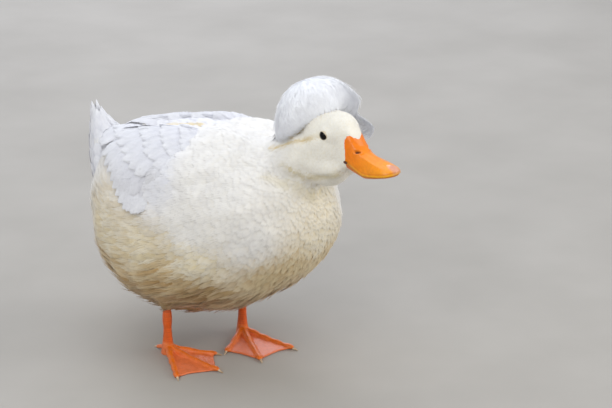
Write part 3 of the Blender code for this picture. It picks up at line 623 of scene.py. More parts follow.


# The groom: how the coat lies, from the bill to the tail. Each guide has a place in the bird's
# measures (its side counts on both flanks), the way the feathers point there, their length, width
# and how far their tips stand off, in metres, the depth of the coat, and a tint at tip and root.
# The roots' darker tones are painted shade in the gaps between feathers. The warm tints low on the body are
# partly the plumage's own yellowish stain and partly painted shade, with a painted reflection of the floor at
# the belly; the cool tint's lavender grey is painted shade on the back and rump.
TINTS = {
    "snow": ("F6F4F0", "ECE7DC"),
    "face": ("F9F6EC", "EEE6D0"),
    "cool": ("F6F6F9", "E6E7EE"),
    "cream": ("F8F2E2", "E2CF9C"),
    "straw": ("F2E2B8", "B88C46"),
    "ochre": ("E6CC94", "946A32"),
    "rust_and_shade": ("D2A06A", "8C5228"),
}
GROOM = (
    ((0.186, 0.000, 0.294), (-0.70, 0.00, 0.70), (0.0060, 0.0018, 0.0006), 0.0014, "face"),
    ((0.160, 0.010, 0.304), (-1.00, 0.05, 0.10), (0.0070, 0.0020, 0.0006), 0.0014, "face"),
    ((0.186, 0.016, 0.274), (-0.90, 0.20, 0.30), (0.0055, 0.0016, 0.0005), 0.0012, "face"),
    ((0.166, 0.026, 0.283), (-1.00, 0.05, 0.00), (0.0060, 0.0018, 0.0005), 0.0012, "face"),
    ((0.176, 0.022, 0.262), (-0.95, 0.10, -0.10), (0.0065, 0.0019, 0.0006), 0.0013, "face"),
    ((0.150, 0.029, 0.258), (-0.90, 0.05, -0.35), (0.0085, 0.0024, 0.0009), 0.0018, "face"),
    ((0.176, 0.008, 0.236), (-0.80, 0.10, -0.40), (0.0070, 0.0020, 0.0008), 0.0015, "face"),
    ((0.150, 0.000, 0.228), (-0.50, 0.00, -0.85), (0.0105, 0.0030, 0.0012), 0.0020, "snow"),
    ((0.118, 0.010, 0.268), (-0.60, 0.05, -0.80), (0.0110, 0.0030, 0.0012), 0.0020, "snow"),
    ((0.118, 0.036, 0.240), (-0.72, 0.15, -0.65), (0.0130, 0.0042, 0.0014), 0.0022, "snow"),
    ((0.095, 0.020, 0.250), (-0.95, 0.05, -0.30), (0.0150, 0.0055, 0.0016), 0.0024, "snow"),
    ((0.140, 0.000, 0.205), (-0.05, 0.00, -1.00), (0.0150, 0.0060, 0.0016), 0.0026, "cream"),
    ((0.150, 0.000, 0.165), (-0.15, 0.00, -1.00), (0.0170, 0.0074, 0.0018), 0.0028, "cream"),
    ((0.118, 0.070, 0.175), (-0.65, 0.20, -0.72), (0.0180, 0.0078, 0.0018), 0.0028, "snow"),
    ((0.132, 0.045, 0.122), (-0.70, 0.10, -0.72), (0.0210, 0.0078, 0.0020), 0.0030, "straw"),
    ((0.148, 0.020, 0.135), (-0.30, 0.00, -0.95), (0.0190, 0.0074, 0.0020), 0.0030, "straw"),
    ((0.100, 0.000, 0.080), (-0.85, 0.00, -0.50), (0.0260, 0.0070, 0.0026), 0.0032, "ochre"),
    ((0.060, 0.095, 0.140), (-0.85, 0.05, -0.50), (0.0220, 0.0080, 0.0020), 0.0030, "cream"),
    ((0.000, 0.104, 0.130), (-0.90, 0.00, -0.40), (0.0270, 0.0078, 0.0022), 0.0032, "cream"),
    ((0.010, 0.100, 0.112), (-0.92, 0.00, -0.36), (0.0300, 0.0070, 0.0026), 0.0034, "straw"),
    ((0.055, 0.078, 0.092), (-0.90, 0.00, -0.42), (0.0300, 0.0066, 0.0028), 0.0034, "ochre"),
    ((0.000, 0.000, 0.038), (-1.00, 0.00, 0.05), (0.0260, 0.0064, 0.0030), 0.0034, "rust_and_shade"),
    ((-0.020, 0.070, 0.060), (-0.85, 0.05, -0.50), (0.0300, 0.0062, 0.0030), 0.0034, "ochre"),
    ((-0.070, 0.085, 0.120), (-0.92, -0.10, -0.20), (0.0270, 0.0078, 0.0022), 0.0032, "cream"),
    ((-0.070, 0.082, 0.098), (-0.92, -0.10, -0.10), (0.0290, 0.0070, 0.0026), 0.0034, "straw"),
    ((-0.100, 0.030, 0.075), (-0.85, 0.00, 0.45), (0.0250, 0.0070, 0.0026), 0.0034, "straw"),
    ((-0.140, 0.030, 0.130), (-0.55, -0.10, 0.85), (0.0240, 0.0078, 0.0020), 0.0030, "snow"),
    ((-0.150, 0.045, 0.180), (-0.55, -0.25, 0.80), (0.0220, 0.0080, 0.0022), 0.0028, "snow"),
    ((-0.172, 0.010, 0.190), (-0.25, 0.00, 1.00), (0.0200, 0.0070, 0.0020), 0.0022, "cool"),
    ((-0.165, 0.000, 0.225), (-0.40, 0.00, 0.90), (0.0170, 0.0060, 0.0016), 0.0018, "cool"),
    ((-0.115, 0.015, 0.235), (-0.95, 0.00, 0.15), (0.0220, 0.0090, 0.0018), 0.0024, "cool"),
    ((-0.020, 0.000, 0.246), (-1.00, 0.00, -0.08), (0.0240, 0.0105, 0.0018), 0.0026, "cool"),
    ((0.050, 0.000, 0.252), (-1.00, 0.00, -0.05), (0.0210, 0.0090, 0.0016), 0.0026, "snow"),
    ((0.085, 0.060, 0.215), (-0.92, 0.10, -0.38), (0.0180, 0.0080, 0.0016), 0.0026, "snow"),
    ((0.050, 0.070, 0.222), (-0.95, 0.10, -0.25), (0.0210, 0.0095, 0.0018), 0.0026, "snow"),
    ((0.060, 0.095, 0.175), (-0.90, 0.05, -0.45), (0.0220, 0.0095, 0.0018), 0.0028, "snow"),
    ((0.010, 0.085, 0.215), (-0.96, 0.05, -0.30), (0.0250, 0.0115, 0.0018), 0.0026, "cool"),
)
GUIDE_PLACES = np.array([row[0] for row in GROOM])
GUIDE_WAYS = unit(np.array([row[1] for row in GROOM]))
GUIDE_SIZES = np.array([(*row[2], row[3]) for row in GROOM])
GUIDE_TIPS = np.array([colour(TINTS[row[4]][0]) for row in GROOM])
GUIDE_ROOTS = np.array([colour(TINTS[row[4]][1]) for row in GROOM])
GUIDE_REACH = 0.012

# A faintly yellow band down the groove between the folded wings, and how much of the painted shade along the
# head's folds and the crest's hem shows.
GROOVE_TONES = (colour("E8CF86"), colour("D9BC6C"))
GROOVE_WIDTH = 0.0045
GROOVE_SHARE = 0.9
FOLD_SHADE_SHARE = 0.8


def groomed(points):
    """The coat at world points: way (world), length, width, lift, depth, tip tint and root tint."""
    bird = bird_measures(points)
    near = bird.copy()
    near[:, 1] = abs(near[:, 1])
    gaps = np.linalg.norm(near[:, None] - GUIDE_PLACES[None], axis=2)
    weights = 1 / (gaps**2 + GUIDE_REACH**2) ** 2
    weights /= weights.sum(axis=1, keepdims=True)
    ways = weights @ GUIDE_WAYS
    ways[:, 1] *= np.sign(bird[:, 1] + 1e-9)
    sizes = weights @ GUIDE_SIZES
    tips, roots = weights @ GUIDE_TIPS, weights @ GUIDE_ROOTS
    groove = np.exp(-((bird[:, 1] / GROOVE_WIDTH) ** 2)) * (bird[:, 0] < 0.0) * (bird[:, 2] > 0.19)
    groove = (GROOVE_SHARE * groove)[:, None]
    tips, roots = (mixed(tint, np.array(tone), groove) for tint, tone in zip((tips, roots), GROOVE_TONES))
    # Painted shade: tan tones along the head's folds and the crest's hem darken tips and roots there.
    on_head = bird[:, 0] > 0.09
    for line, tone, width in HEAD_FOLD_SHADES:
        share = np.zeros(len(points))
        share[on_head] = np.exp(-((gap_to_line(points[on_head], line) / width) ** 2))
        share = (FOLD_SHADE_SHARE * share)[:, None]
        tips = mixed(tips, np.array(colour(tone)), share)
        roots = mixed(roots, np.array(colour(tone)) * 0.85, share)
    return world_ways(ways), sizes, tips, roots


# The skin: one surface under the whole coat.


def wing_rise(forward, around):
    """How far the wing's core stands off the torso at a place on it, or 0 off the core."""
    first, last = WING_OUTLINE[0][0], WING_OUTLINE[-1][0]
    share = (forward - first) / (last - first)
    top, low = (along([(row[0], row[k]) for row in WING_OUTLINE], forward) for k in (1, 2))
    across = (around - top) / (low - top)
    if not (0 < share < 1 and 0 < across < 1):
        return 0.0
    full = math.sin(math.pi * (0.06 + 0.88 * share)) ** 0.4
    return WING_THICKNESS * full * (1 - abs(2 * across - 1) ** 3)


def torso_point(forward, around, lift, sign):
    """A point over the torso: metres along its axis, degrees from the ridge of the back, metres off it."""
    def skin(s, angle):
        cap = max(1 - abs(s) ** TORSO_END_POWER, 1e-6) ** (1 / TORSO_END_POWER)
        width, above, below = (
            between(*sizes, s) * cap for sizes in (TORSO_HALF_WIDTH, TORSO_ABOVE, TORSO_BELOW)
        )
        side = abs(math.sin(angle)) ** (2 / TORSO_SIDE_POWER) * width
        up = signed_power(math.cos(angle), 2 / TORSO_SIDE_POWER)
        return TORSO @ at(s * TORSO_HALF_LENGTH, sign * side, up * (above if up > 0 else below))

    s, angle, step = forward / TORSO_HALF_LENGTH, math.radians(around), 0.01
    here = skin(s, angle)
    lengthwise = skin(s + step, angle) - skin(s - step, angle)
    crosswise = skin(s, angle + step) - skin(s, angle - step)
    return here + lengthwise.cross(crosswise).normalized() * (sign * lift)


WING_CORE_STEPS = (26, 14)


def wing_core(sign):
    """The folded arm and hand under the wing's feathers, a shield that follows the torso."""
    rows = []
    steps, count = WING_CORE_STEPS
    first, last = WING_OUTLINE[0][0], WING_OUTLINE[-1][0]
    edges = [[(row[0], row[k]) for row in WING_OUTLINE] for k in (1, 2)]
    for i in range(steps + 1):
        forward = first + (last - first) * i / steps
        top, low = (along(edge, forward) for edge in edges)
        turns = [top + (low - top) * k / count for k in range(count + 1)]
        outer = [torso_point(forward, turn, wing_rise(forward, turn), sign) for turn in turns]
        inner = [torso_point(forward, turn, -WING_SINK, sign) for turn in turns]
        rows.append(outer + inner[::-1])
    return loft("form", rows)


def rump_point(t, round_it, lift):
    """A point of the rump: how far along it, degrees round it from its upper face, and metres off it."""
    places = [HOME @ at(*place) for place in (RUMP_START, RUMP_BEND, RUMP_END)]
    here = bend(*places, t)
    ahead = (bend(*places, t + 0.01) - bend(*places, t - 0.01)).normalized()
    across = Vector((1, 0, 0))
    normal = across.cross(ahead).normalized()
    width, depth = (low + (high - low) * t for low, high in (RUMP_HALF_WIDTH, RUMP_HALF_DEPTH))
    angle = math.radians(round_it)
    return here + across * math.sin(angle) * (width + lift) + normal * math.cos(angle) * (depth + lift)


def rump_core():
    rows = [[rump_point(i / 16, 15 * k, 0.0) for k in range(24)] for i in range(17)]
    return loft("form", rows)


# How far the render's eyes stand from the solids' eyes, in the head's measures.
EYE_NUDGE = (0.0001, -0.0029, -0.0017)


def eye_frame(sign):
    forward, side, up = (place + more for place, more in zip(EYE_PLACE, EYE_NUDGE))
    return HEAD @ frame_at((forward, sign * side, up))


# Folds of the head, as lines in its own measures, alike on both sides.
CREASE = (
    (0.0085, 0.0256, 0.0125), (0.0012, 0.0247, 0.0073), (-0.0151, 0.0246, -0.0003),
    (-0.0258, 0.0279, -0.0033), (-0.0339, 0.0294, -0.0081), (-0.0429, 0.0295, -0.0127),
)
HEM = (
    (-0.0242, 0.0225, 0.0015), (-0.0236, 0.0183, 0.0056), (-0.0153, 0.0185, 0.0164),
    (-0.0106, 0.0142, 0.0254), (-0.0042, 0.0101, 0.0300), (0.0017, 0.0036, 0.0328),
    (0.0021, 0.0, 0.0330),
)
CHEEK_FOLD = (
    (-0.0240, 0.0315, -0.0235), (-0.0133, 0.0315, -0.0293), (-0.0022, 0.0221, -0.0354),
    (0.0179, 0.0216, -0.0308), (0.0312, 0.0133, -0.0229),
)
NECK_FOLD = (
    (-0.0360, 0.0430, -0.0410), (-0.0289, 0.0411, -0.0429), (-0.0126, 0.0309, -0.0441),
    (-0.0057, 0.0213, -0.0509), (-0.0033, 0.0, -0.0590),
)
# How deep and how wide each fold is pressed in, and the tone and width of the painted shade laid along each
# fold and along the crest's hem.
FOLDS = ((CREASE, 0.0016, 0.0026), (CHEEK_FOLD, 0.0020, 0.0036), (NECK_FOLD, 0.0052, 0.0085))
HEAD_FOLD_SHADES = (
    (CREASE, "E3C98A", 0.0022), (HEM, "E4C67C", 0.0026), (CHEEK_FOLD, "DDCFA8", 0.0034),
    (NECK_FOLD, "E6D8AE", 0.0050),
)


def gap_to_line(points, line):
    """How far points lie from a line of places, each mirrored to both sides, in the head's measures."""
    local = in_frame(HEAD, points)
    local = np.stack([-local[:, 1], abs(local[:, 0]), local[:, 2]], axis=1)
    best = np.full(len(points), 9.0)
    for start, end in zip(line[:-1], line[1:]):
        start, end = np.array(start), np.array(end)
        run = end - start
        t = np.clip((local - start) @ run / (run @ run), 0, 1)[:, None]
        best = np.minimum(best, np.linalg.norm(local - start - t * run, axis=1))
    return best


# The feathered collar on the bill's root: how far forward it runs at its sides, how much less in the
# middle of each side and how much more along the ridge, and how far it stands off the bill.
COLLAR_REACH = 0.0197
COLLAR_CORNER = 0.0105
LOBE_REACH = 0.0171
COLLAR_STEP = 0.0028
COLLAR_START = 0.012
COLLAR_BELOW = 0.0085
COLLAR_POINTS = 40
COLLAR_RINGS = 11


def smile(t):
    """How far the line of the mouth hangs below a straight one, part of the way along the bill."""
    return along(BILL_DROOP, min(max(t, 0.0), 1.0))


def collar():
    """The feathered skin that runs a little way onto the bill's root, furthest along its ridge."""
    rows = []
    for i in range(COLLAR_RINGS):
        part = i / (COLLAR_RINGS - 1)
        step = COLLAR_STEP * (1 - max(part - 0.85, 0) * 3)
        row = []
        for k in range(COLLAR_POINTS):
            angle = 2 * math.pi * (k + 0.5) / COLLAR_POINTS
            across, rise = math.cos(angle), math.sin(angle)
            ridge = max(rise, 0) * math.exp(-((across / 0.62) ** 4))
            reach = COLLAR_REACH - COLLAR_CORNER * max(rise, 0) ** 0.53 + LOBE_REACH * ridge
            forward = -COLLAR_START + part * (COLLAR_START + reach)
            t = min(max(forward / BILL_LENGTH, 0.0), 1.0)
            below = rise < 0
            height = COLLAR_BELOW if below else along(BILL_HEIGHT, t)
            power = 2 / along(BILL_SQUARE, t)
            side = signed_power(across, power) * (along(BILL_HALF_WIDTH, t) + step)
            up = signed_power(rise, power) * (height + step)
            row.append(BILL @ at(forward, side, up - smile(t) * below))
        rows.append(row)
    return loft("form", rows)


# Forms that round out the head: places in its measures, and half sizes forward, aside and up.
BROW_SIZE = (0.0105, 0.0042, 0.0088)
FOREHEAD_PLACE = (0.0125, 0.0, 0.0130)
FOREHEAD_SIZE = (0.0225, 0.0225, 0.0225)
JOWL_PLACE = (0.0040, 0.0100, -0.0230)
JOWL_SIZE = (0.0300, 0.0185, 0.0170)
THROAT_PLACE = (-0.0060, 0.0, -0.0260)
THROAT_SIZE = (0.0345, 0.0275, 0.0290)

# The skin: how fine it is, its swells, and hollows of the neck, each a place in the bird's own
# measures, how deep, and how wide.
SKIN_VOXEL = 0.0021
SWELLS = ((0.060, 11, 0.0014), (0.030, 12, 0.0006))
HOLLOWS = (
    ((0.127, 0.054, 0.189), 0.0100, 0.0200), ((0.128, -0.050, 0.190), 0.0030, 0.0180),
    ((0.152, 0.004, 0.204), 0.0040, 0.0120),
)
# A thigh's sleeve ends in loose feathers, so the skin in it ends higher: by how much, and over what.
THIGH_SHORTER = (0.0075, 0.022)


def skin_forms():
    """Torso, neck, head, thighs, rump and the cores of the wings and crest, each on its own."""
    forms = [cad_copy(node) for node in ("torso", "neck", "thigh_left", "thigh_right")]
    for thigh in forms[2:]:
        points = points_of(thigh)
        up, reach = THIGH_SHORTER
        points[:, 2] += up * np.clip(1 - (points[:, 2] - points[:, 2].min()) / reach, 0, 1)
        put_points(thigh, points)
    forms += [
        egg(HEAD, HEAD_HALF_LENGTH, HEAD_HALF_WIDTH, HEAD_ABOVE, HEAD_BELOW, 2.3, 2.1, CHEEK_SWELL),
        rump_core(),
        collar(),
        ball(HEAD @ frame_at(THROAT_PLACE), THROAT_SIZE),
        ball(HEAD @ frame_at(FOREHEAD_PLACE), FOREHEAD_SIZE),
        ball(CREST, [CREST_CORE * radius for radius in CREST_RADII]),
    ]
    for sign in SIDES.values():
        forms.append(wing_core(sign))
        forms.append(ball(eye_frame(sign), BROW_SIZE))
        forward, side, up = JOWL_PLACE
        forms.append(ball(HEAD @ frame_at((forward, sign * side, up)), JOWL_SIZE))
    return forms


def make_skin():
    """One skin over all the forms, as deep under the solids as the coat on it is thick."""
    skin = joined("skin", skin_forms())
    remeshed(skin, 0.0004, SKIN_VOXEL, 10)
    points, normals = points_of(skin), normals_of(skin)
    inward = groomed(points)[1][:, 3] + 0.0004
    for sign in SIDES.values():
        # Round the eyes the coat thins out and the skin comes up to the lids.
        gap = np.linalg.norm(points - np.array(eye_frame(sign).translation), axis=1)
        inward = inward * (1 - 0.85 * np.exp(-((gap / 0.0075) ** 4)))
    for line, depth, width in FOLDS:
        inward = inward + depth * np.exp(-((gap_to_line(points, line) / width) ** 2))
    for place, depth, width in HOLLOWS:
        gap = np.linalg.norm(bird_measures(points) - np.array(place), axis=1)
        inward = inward + depth * np.exp(-((gap / width) ** 2))
    # The plumage over breast, flanks and belly lies in broad soft swells.
    on_body = np.clip((0.125 - bird_measures(points)[:, 0]) / 0.03, 0, 1)
    swells = sum(clumps(points, size, seed) * height for size, seed, height in SWELLS)
    put_points(skin, points + normals * (swells * on_body - inward)[:, None])
    return skin


# Feathers.

# Far more places are thrown than stay, and each keeps this share of its spacing clear round it.
SCATTER_OVER = 2.6
SCATTER_GAP = 0.72


class Surface:
    """The skin as a place to lay feathers on."""

    def __init__(self, target):
        self.points = points_of(target)
        self.normals = normals_of(target)
        target.data.calc_loop_triangles()
        triangles = np.empty(len(target.data.loop_triangles) * 3, np.int32)
        target.data.loop_triangles.foreach_get("vertices", triangles)
        self.triangles = triangles.reshape(-1, 3)
        self.tree = BVHTree.FromPolygons(self.points.tolist(), self.triangles.tolist())

    def snap(self, places):
        """The nearest points of the skin and its smooth normals there."""
        found = np.empty_like(places)
        faces = np.empty(len(places), int)
        for i, place in enumerate(places):
            spot, _, index, _ = self.tree.find_nearest(place)
            found[i] = spot
            faces[i] = index
        corners = self.points[self.triangles[faces]]
        first, second = corners[:, 1] - corners[:, 0], corners[:, 2] - corners[:, 0]
        offset = found - corners[:, 0]
        a, b, c = (first**2).sum(1), (first * second).sum(1), (second**2).sum(1)
        d, e = (offset * first).sum(1), (offset * second).sum(1)
        scale = np.maximum(a * c - b * b, 1e-18)
        v, w = (c * d - b * e) / scale, (a * e - b * d) / scale
        shares = np.stack([1 - v - w, v, w], axis=1)[:, :, None]
        return found, unit((self.normals[self.triangles[faces]] * shares).sum(1))

    def scatter(self, spacing_of, seed):
        """Places spread over the skin about as far apart as spacing_of says, never much nearer."""
        draw = np.random.default_rng(seed)
        corners = self.points[self.triangles]
        first, second = corners[:, 1] - corners[:, 0], corners[:, 2] - corners[:, 0]
        area = np.linalg.norm(np.cross(first, second), axis=1) / 2
        spacing = np.maximum(spacing_of(corners.mean(axis=1)), 1e-6)
        counts = draw.poisson(SCATTER_OVER * area / spacing ** 2)
        index = np.repeat(np.arange(len(counts)), counts)
        u, v = draw.random(len(index)), draw.random(len(index))
        over = u + v > 1
        u[over], v[over] = 1 - u[over], 1 - v[over]
        places = corners[index, 0] + u[:, None] * first[index] + v[:, None] * second[index]
        places = places[draw.permutation(len(places))]
        return places[thinned(places, spacing_of(places) * SCATTER_GAP)]


def thinned(places, gaps):
    """Which places stay when each keeps its own gap from those kept before it."""
    cell = float(gaps.max())
    keys = np.floor(places / cell).astype(int)
    grid, kept = {}, []
    for i, (key, place, gap) in enumerate(zip(map(tuple, keys), places, gaps)):
        x, y, z = key
        clear = True
        for near in ((x + a, y + b, z + c) for a in (-1, 0, 1) for b in (-1, 0, 1) for c in (-1, 0, 1)):
            for j in grid.get(near, ()):
                d = place - places[j]
                if d @ d < gap * gap:
                    clear = False
                    break
            if not clear:
                break
        if clear:
            grid.setdefault(key, []).append(i)
            kept.append(i)
    return np.array(kept, int)


def unwrap(points):
    """The skin's own unwrap: how far along the bird, and how far round it, each from 0 to 1."""
    bird = bird_measures(points)
    lengthwise = (bird[:, 0] + 0.22) / 0.50
    axis_height = 0.15 + 0.32 * np.clip(bird[:, 0], 0.0, 0.2) * (bird[:, 2] > 0.15)
    axis_height += 0.10 * (bird[:, 2] > 0.25)
    turn = np.arctan2(bird[:, 1], bird[:, 2] - axis_height) / (2 * math.pi) + 0.5
    return np.stack([0.02 + 0.96 * turn, 0.02 + 0.96 * np.clip(lengthwise, 0, 1)], axis=1)


STRIP = ((-1.0, 0.0), (0.0, 1.0), (1.0, 0.0))
BLADE = (
    (-1.0, 0.0), (-0.6, 0.64), (0.0, 1.0), (0.6, 0.64), (1.0, 0.0), (0.6, 0.30), (0.0, 0.6), (-0.6, 0.30),
)
PATCH = 0.003


def capped(start, ring, far):
    """The faces that close one end of each feather, from the first point of its ring there."""
    half = ring // 2
    quads = [(0, 1, 2, 2)] if ring == 3 else [(0, 1, ring - 1, ring - 1)]
    if ring > 3:
        quads += [(j - 1, j, ring - j, ring - j + 1) for j in range(2, half)]
        quads.append((half - 1, half, half + 1, half + 1))
    if far:
        quads = [(c, b, a, a) if c == d else (d, c, b, a) for a, b, c, d in quads]
    return [start + np.array(quad) for quad in quads]


def quills(middles, outs, ups, section, round_share, tips, roots, origin, local=None, lean=None):
    """Arrays for many feathers or strips. Middles, outs and ups are (count, stations, 3), outs and ups
    already scaled to the half width and the height there; section gives each ring's points in them.
    round_share says how far the shading turns from edge to edge. Local places each strip within its
    feather's own patch of the bake map, and lean draws the shading towards the form below."""
    count, stations = middles.shape[:2]
    ring = len(section)
    shares = np.array(section)
    points = (
        middles[:, :, None]
        + outs[:, :, None] * shares[None, None, :, :1]
        + ups[:, :, None] * shares[None, None, :, 1:]
    )
    lengthwise = unit(np.gradient(middles, axis=1))
    t = np.linspace(0, 1, stations)[None, :, None, None]
    normals = unit(
        unit(ups)[:, :, None]
        + unit(outs)[:, :, None] * shares[None, None, :, :1] * round_share
        + lengthwise[:, :, None] * (0.22 * t**2 - 0.04)
        + (0.0 if lean is None else lean[:, :, None])
    )
    base = np.arange(count)[:, None, None, None] * stations * ring
    i = np.arange(stations - 1)[None, :, None, None] * ring
    k = np.arange(ring)[None, None, :, None]
    n = (k + 1) % ring
    sides = np.concatenate([base + i + k, base + i + ring + k, base + i + ring + n, base + i + n], axis=3)
    faces = [sides.reshape(-1, 4)]
    upper = 2 if ring == 3 else ring // 2
    facing = [np.broadcast_to(np.where(np.arange(ring) < upper, 1.0, -1.0), sides.shape[:3]).ravel()]
    for row in (0, stations - 1):
        start = (np.arange(count) * stations * ring + row * ring)[:, None]
        ends = capped(start, ring, row > 0)
        faces += ends
        facing += [np.ones(len(end)) for end in ends]
    # Each strip runs from its root tint to its tip tint; darker roots are painted shade where feathers lie
    # under those over them.
    shade = roots[:, None, None] * (1 - t**1.3) + tips[:, None, None] * t**1.3
    shade = np.broadcast_to(shade, (*points.shape[:3], 3))
    across = np.broadcast_to(shares[None, None, :, 0], points.shape[:3])
    length = np.broadcast_to(t[..., 0], points.shape[:3])
    spot = np.stack([across * 0.5, length - 0.5], axis=3)
    if local is not None:
        spot = spot * np.array([0.15, 0.9]) + local[:, None, None]
    bake = origin[:, None, None] + spot * PATCH
    vane = np.stack([abs(across), length], axis=3)
    return (
        points.reshape(-1, 3), np.concatenate(faces), shade.reshape(-1, 3), bake.reshape(-1, 2),
        vane.reshape(-1, 2), normals.reshape(-1, 3), np.concatenate(facing),
    )


def coat_object(name, arrays, material, *nodes):
    made = mesh_object(name, *arrays[:2], material, *arrays[2:])
    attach(made, "root")
    if nodes:
        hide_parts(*nodes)


def paths_over(surface, places, length, lift, stations, sink):
    """Lays lines over the skin from each place, the way the coat lies: points, ways and normals."""
    here, normal = surface.snap(places)
    middles, ways, normals = [], [], []
    way = None
    for j in range(stations):
        t = j / (stations - 1)
        lie = groomed(here)[0]
        tangent = unit(lie - (lie * normal).sum(1, keepdims=True) * normal)
        way = tangent if way is None else unit(way * 0.5 + tangent * 0.5)
        rise = -sink * (1 - t) ** 2 + lift * t**1.5
        middles.append(here + normal * rise[:, None])
        ways.append(way)
        normals.append(normal)
        if j < stations - 1:
            here, normal = surface.snap(here + way * (length / (stations - 1))[:, None])
    return (np.stack(rows, axis=1) for rows in (middles, ways, normals))


def turned(way, normal, angle):
    """Ways turned about their normals."""
    side = np.cross(normal, way)
    return way * np.cos(angle)[..., None] + side * np.sin(angle)[..., None]


def part_way(rows, index, t):
    """The feathers of index, read off their stations part of the way along, as t says."""
    last = rows.shape[1] - 1
    low = np.clip((t * last).astype(int), 0, last - 1)
    part = (t * last - low)[..., None]
    rank = index[:, None]
    return rows[rank, low] * (1 - part) + rows[rank, low + 1] * part


def in_eye(points, reach):
    """Which points lie over an eye's opening."""
    hit = np.zeros(len(points), bool)
    for sign in SIDES.values():
        centre = np.array((eye_frame(sign) @ Vector((sign * 0.004, 0, 0)))[:])
        hit |= np.linalg.norm(points - centre, axis=1) < reach
    return hit


def in_bill(points, normals):
    """Which points lie on the front of the collar, where the bill comes out of it."""
    local = in_frame(BILL, points)
    ahead = -ways_in_frame(BILL, normals)[:, 1]
    forward, side, up = -local[:, 1], local[:, 0], local[:, 2]
    return (abs(side) < 0.0165) & (up < 0.0315) & (up > -0.0100) & (forward > 0.002) & (ahead > 0.70)


def under_vanes(points):
    """Which points lie where the wing's long feathers cover the skin."""
    local = in_frame(TORSO, points)
    forward, side, up = -local[:, 1], local[:, 0], local[:, 2]
    around = np.degrees(np.arctan2(abs(side), up))
    top = np.interp(forward, [-0.07, 0.03], [13, 26])
    low = np.interp(forward, [-0.07, -0.05, -0.02, 0.025], [52, 60, 52, 46])
    return (forward > -0.07) & (forward < 0.022) & (around > top) & (around < low) & (up > 0)


FLOW = unit(np.array([0.0, 0.87, -0.42]))


def clumps(places, size, seed, drawn_out=1.0):
    """Smooth unevenness from about -1 to 1, in lumps of the size given, drawn out along the coat's flow."""
    draw = np.random.default_rng(seed)
    places = places - (places @ FLOW)[:, None] * FLOW * (1 - 1 / drawn_out)
    waves = unit(draw.normal(0, 1, (9, 3))) * (2 * math.pi / size) * draw.uniform(0.6, 1.3, 9)[:, None]
    return np.clip(np.sin(places @ waves.T + draw.uniform(0, 6.3, 9)).sum(axis=1) / 3.0, -1, 1)


# The coat. Feathers stand apart by a share of their length, by more of it where they hang loose, and
# by a least gap. A small feather is a fan of two strips of barbs, and a larger one of five.
COAT_SPACING = (0.212, 0.07, 0.0003)
COAT_STATIONS = 5
SMALL_FEATHER = 0.0100
SMALL_FAN = (-0.5, 0.5)
FAN = (-0.84, -0.43, 0.0, 0.43, 0.84)
STRIP_PROFILE = ((0, 0.3, 0.75, 1.0), (0.6, 1.0, 0.95, 0.22))
# How far feathers differ: in brightness, length, width and lift, and in the angle they lie aslant at
# when smooth and when loose. Their strips are this ragged, and the fan's outer ones shorter and lower.
BRIGHTNESS = (0.97, 1.02)
LENGTHS = (0.85, 1.18)
WIDTHS = (0.85, 1.15)
LIFTS = (0.6, 1.4)
ASLANT = (0.09, 0.12)
RAGGED = 0.03
FAN_SHORTER = 0.24
FAN_LOWER = 0.16
# How much of a feather's root tone darkens a loose one, as stain and painted shade, how far it waves aside,
# how deep roots sink.
STAIN_AND_SHADE = 0.85
WAVE_HEIGHT = 0.0016
ROOT_SINK = 0.0016
EYE_CLEAR = (0.0056, 0.0046)
CLUMP_SIZE = 0.0095
PIECE_TRIANGLES = 185000


def looseness(sizes):
    """0 where feathers lie close and smooth, to 1 low on the body, where they hang loose."""
    return np.clip((sizes[:, 2] - 0.0017) / 0.0010, 0, 1)


def coat_places(surface):
    """Where the small feathers stand: not in the eyes, the bill or the crest, nor under the wing's vanes."""
    def spacing(points):
        sizes = groomed(points)[1]
        share, more, least = COAT_SPACING
        return (share + more * looseness(sizes)) * sizes[:, 0] + least

    places = surface.scatter(spacing, SEED)
    radii = np.array([CREST_RADII[1], CREST_RADII[0], CREST_RADII[2]]) * (CREST_CORE + 0.03)
    in_crest = ((in_frame(CREST, places) / radii) ** 2).sum(1) < 1
    bill_root = in_bill(places, surface.snap(places)[1])
    return places[~(in_eye(places, EYE_CLEAR[0]) | bill_root | under_vanes(places) | in_crest)]


def strip_of(paths, index, width, loose, a, strips, draw):
    """One strip of barbs of each feather, at the place a across its width of -1 to 1."""
    t = np.linspace(0, 1, COAT_STATIONS)
    reach = 1 - FAN_SHORTER * a * a + draw.normal(0, RAGGED, len(index)) * (1 + 1.5 * loose)
    wander = draw.normal(0, RAGGED, len(index)) * (1 + 2 * loose)
    # It runs out from the shaft to its own share of the width, and ends at its own length.
    line, way, normal = (part_way(rows, index, t[None] * reach[:, None]) for rows in paths)
    way, normal = unit(way), unit(normal)
    side = np.cross(normal, way)
    spread = (np.minimum(t * 2.2, 1.0) ** 0.8)[None, :, None]
    offset = (a + wander[:, None, None]) * spread * (width / 2)[:, None, None]
    sag = (FAN_LOWER * a * a * width * 0.5)[:, None, None] * spread
    half = width / strips * (0.92 - 0.42 * loose)
    profile = np.interp(t, *STRIP_PROFILE)
    outs = side * (half[:, None] * profile[None])[..., None]
    flat = unit(normal + side * (a * (0.06 + 0.14 * loose))[:, None, None])
    ups = flat * ((half * 0.16 + 0.00008)[:, None] * (0.35 + 0.65 * profile[None]))[..., None]
    local = np.stack([np.full(len(index), a * 0.4), np.zeros(len(index))], axis=1)
    lean = normal * (1.8 * (1 - loose) + 0.3)[:, None, None]
    return line + side * offset - normal * sag, outs, ups, index, local, lean


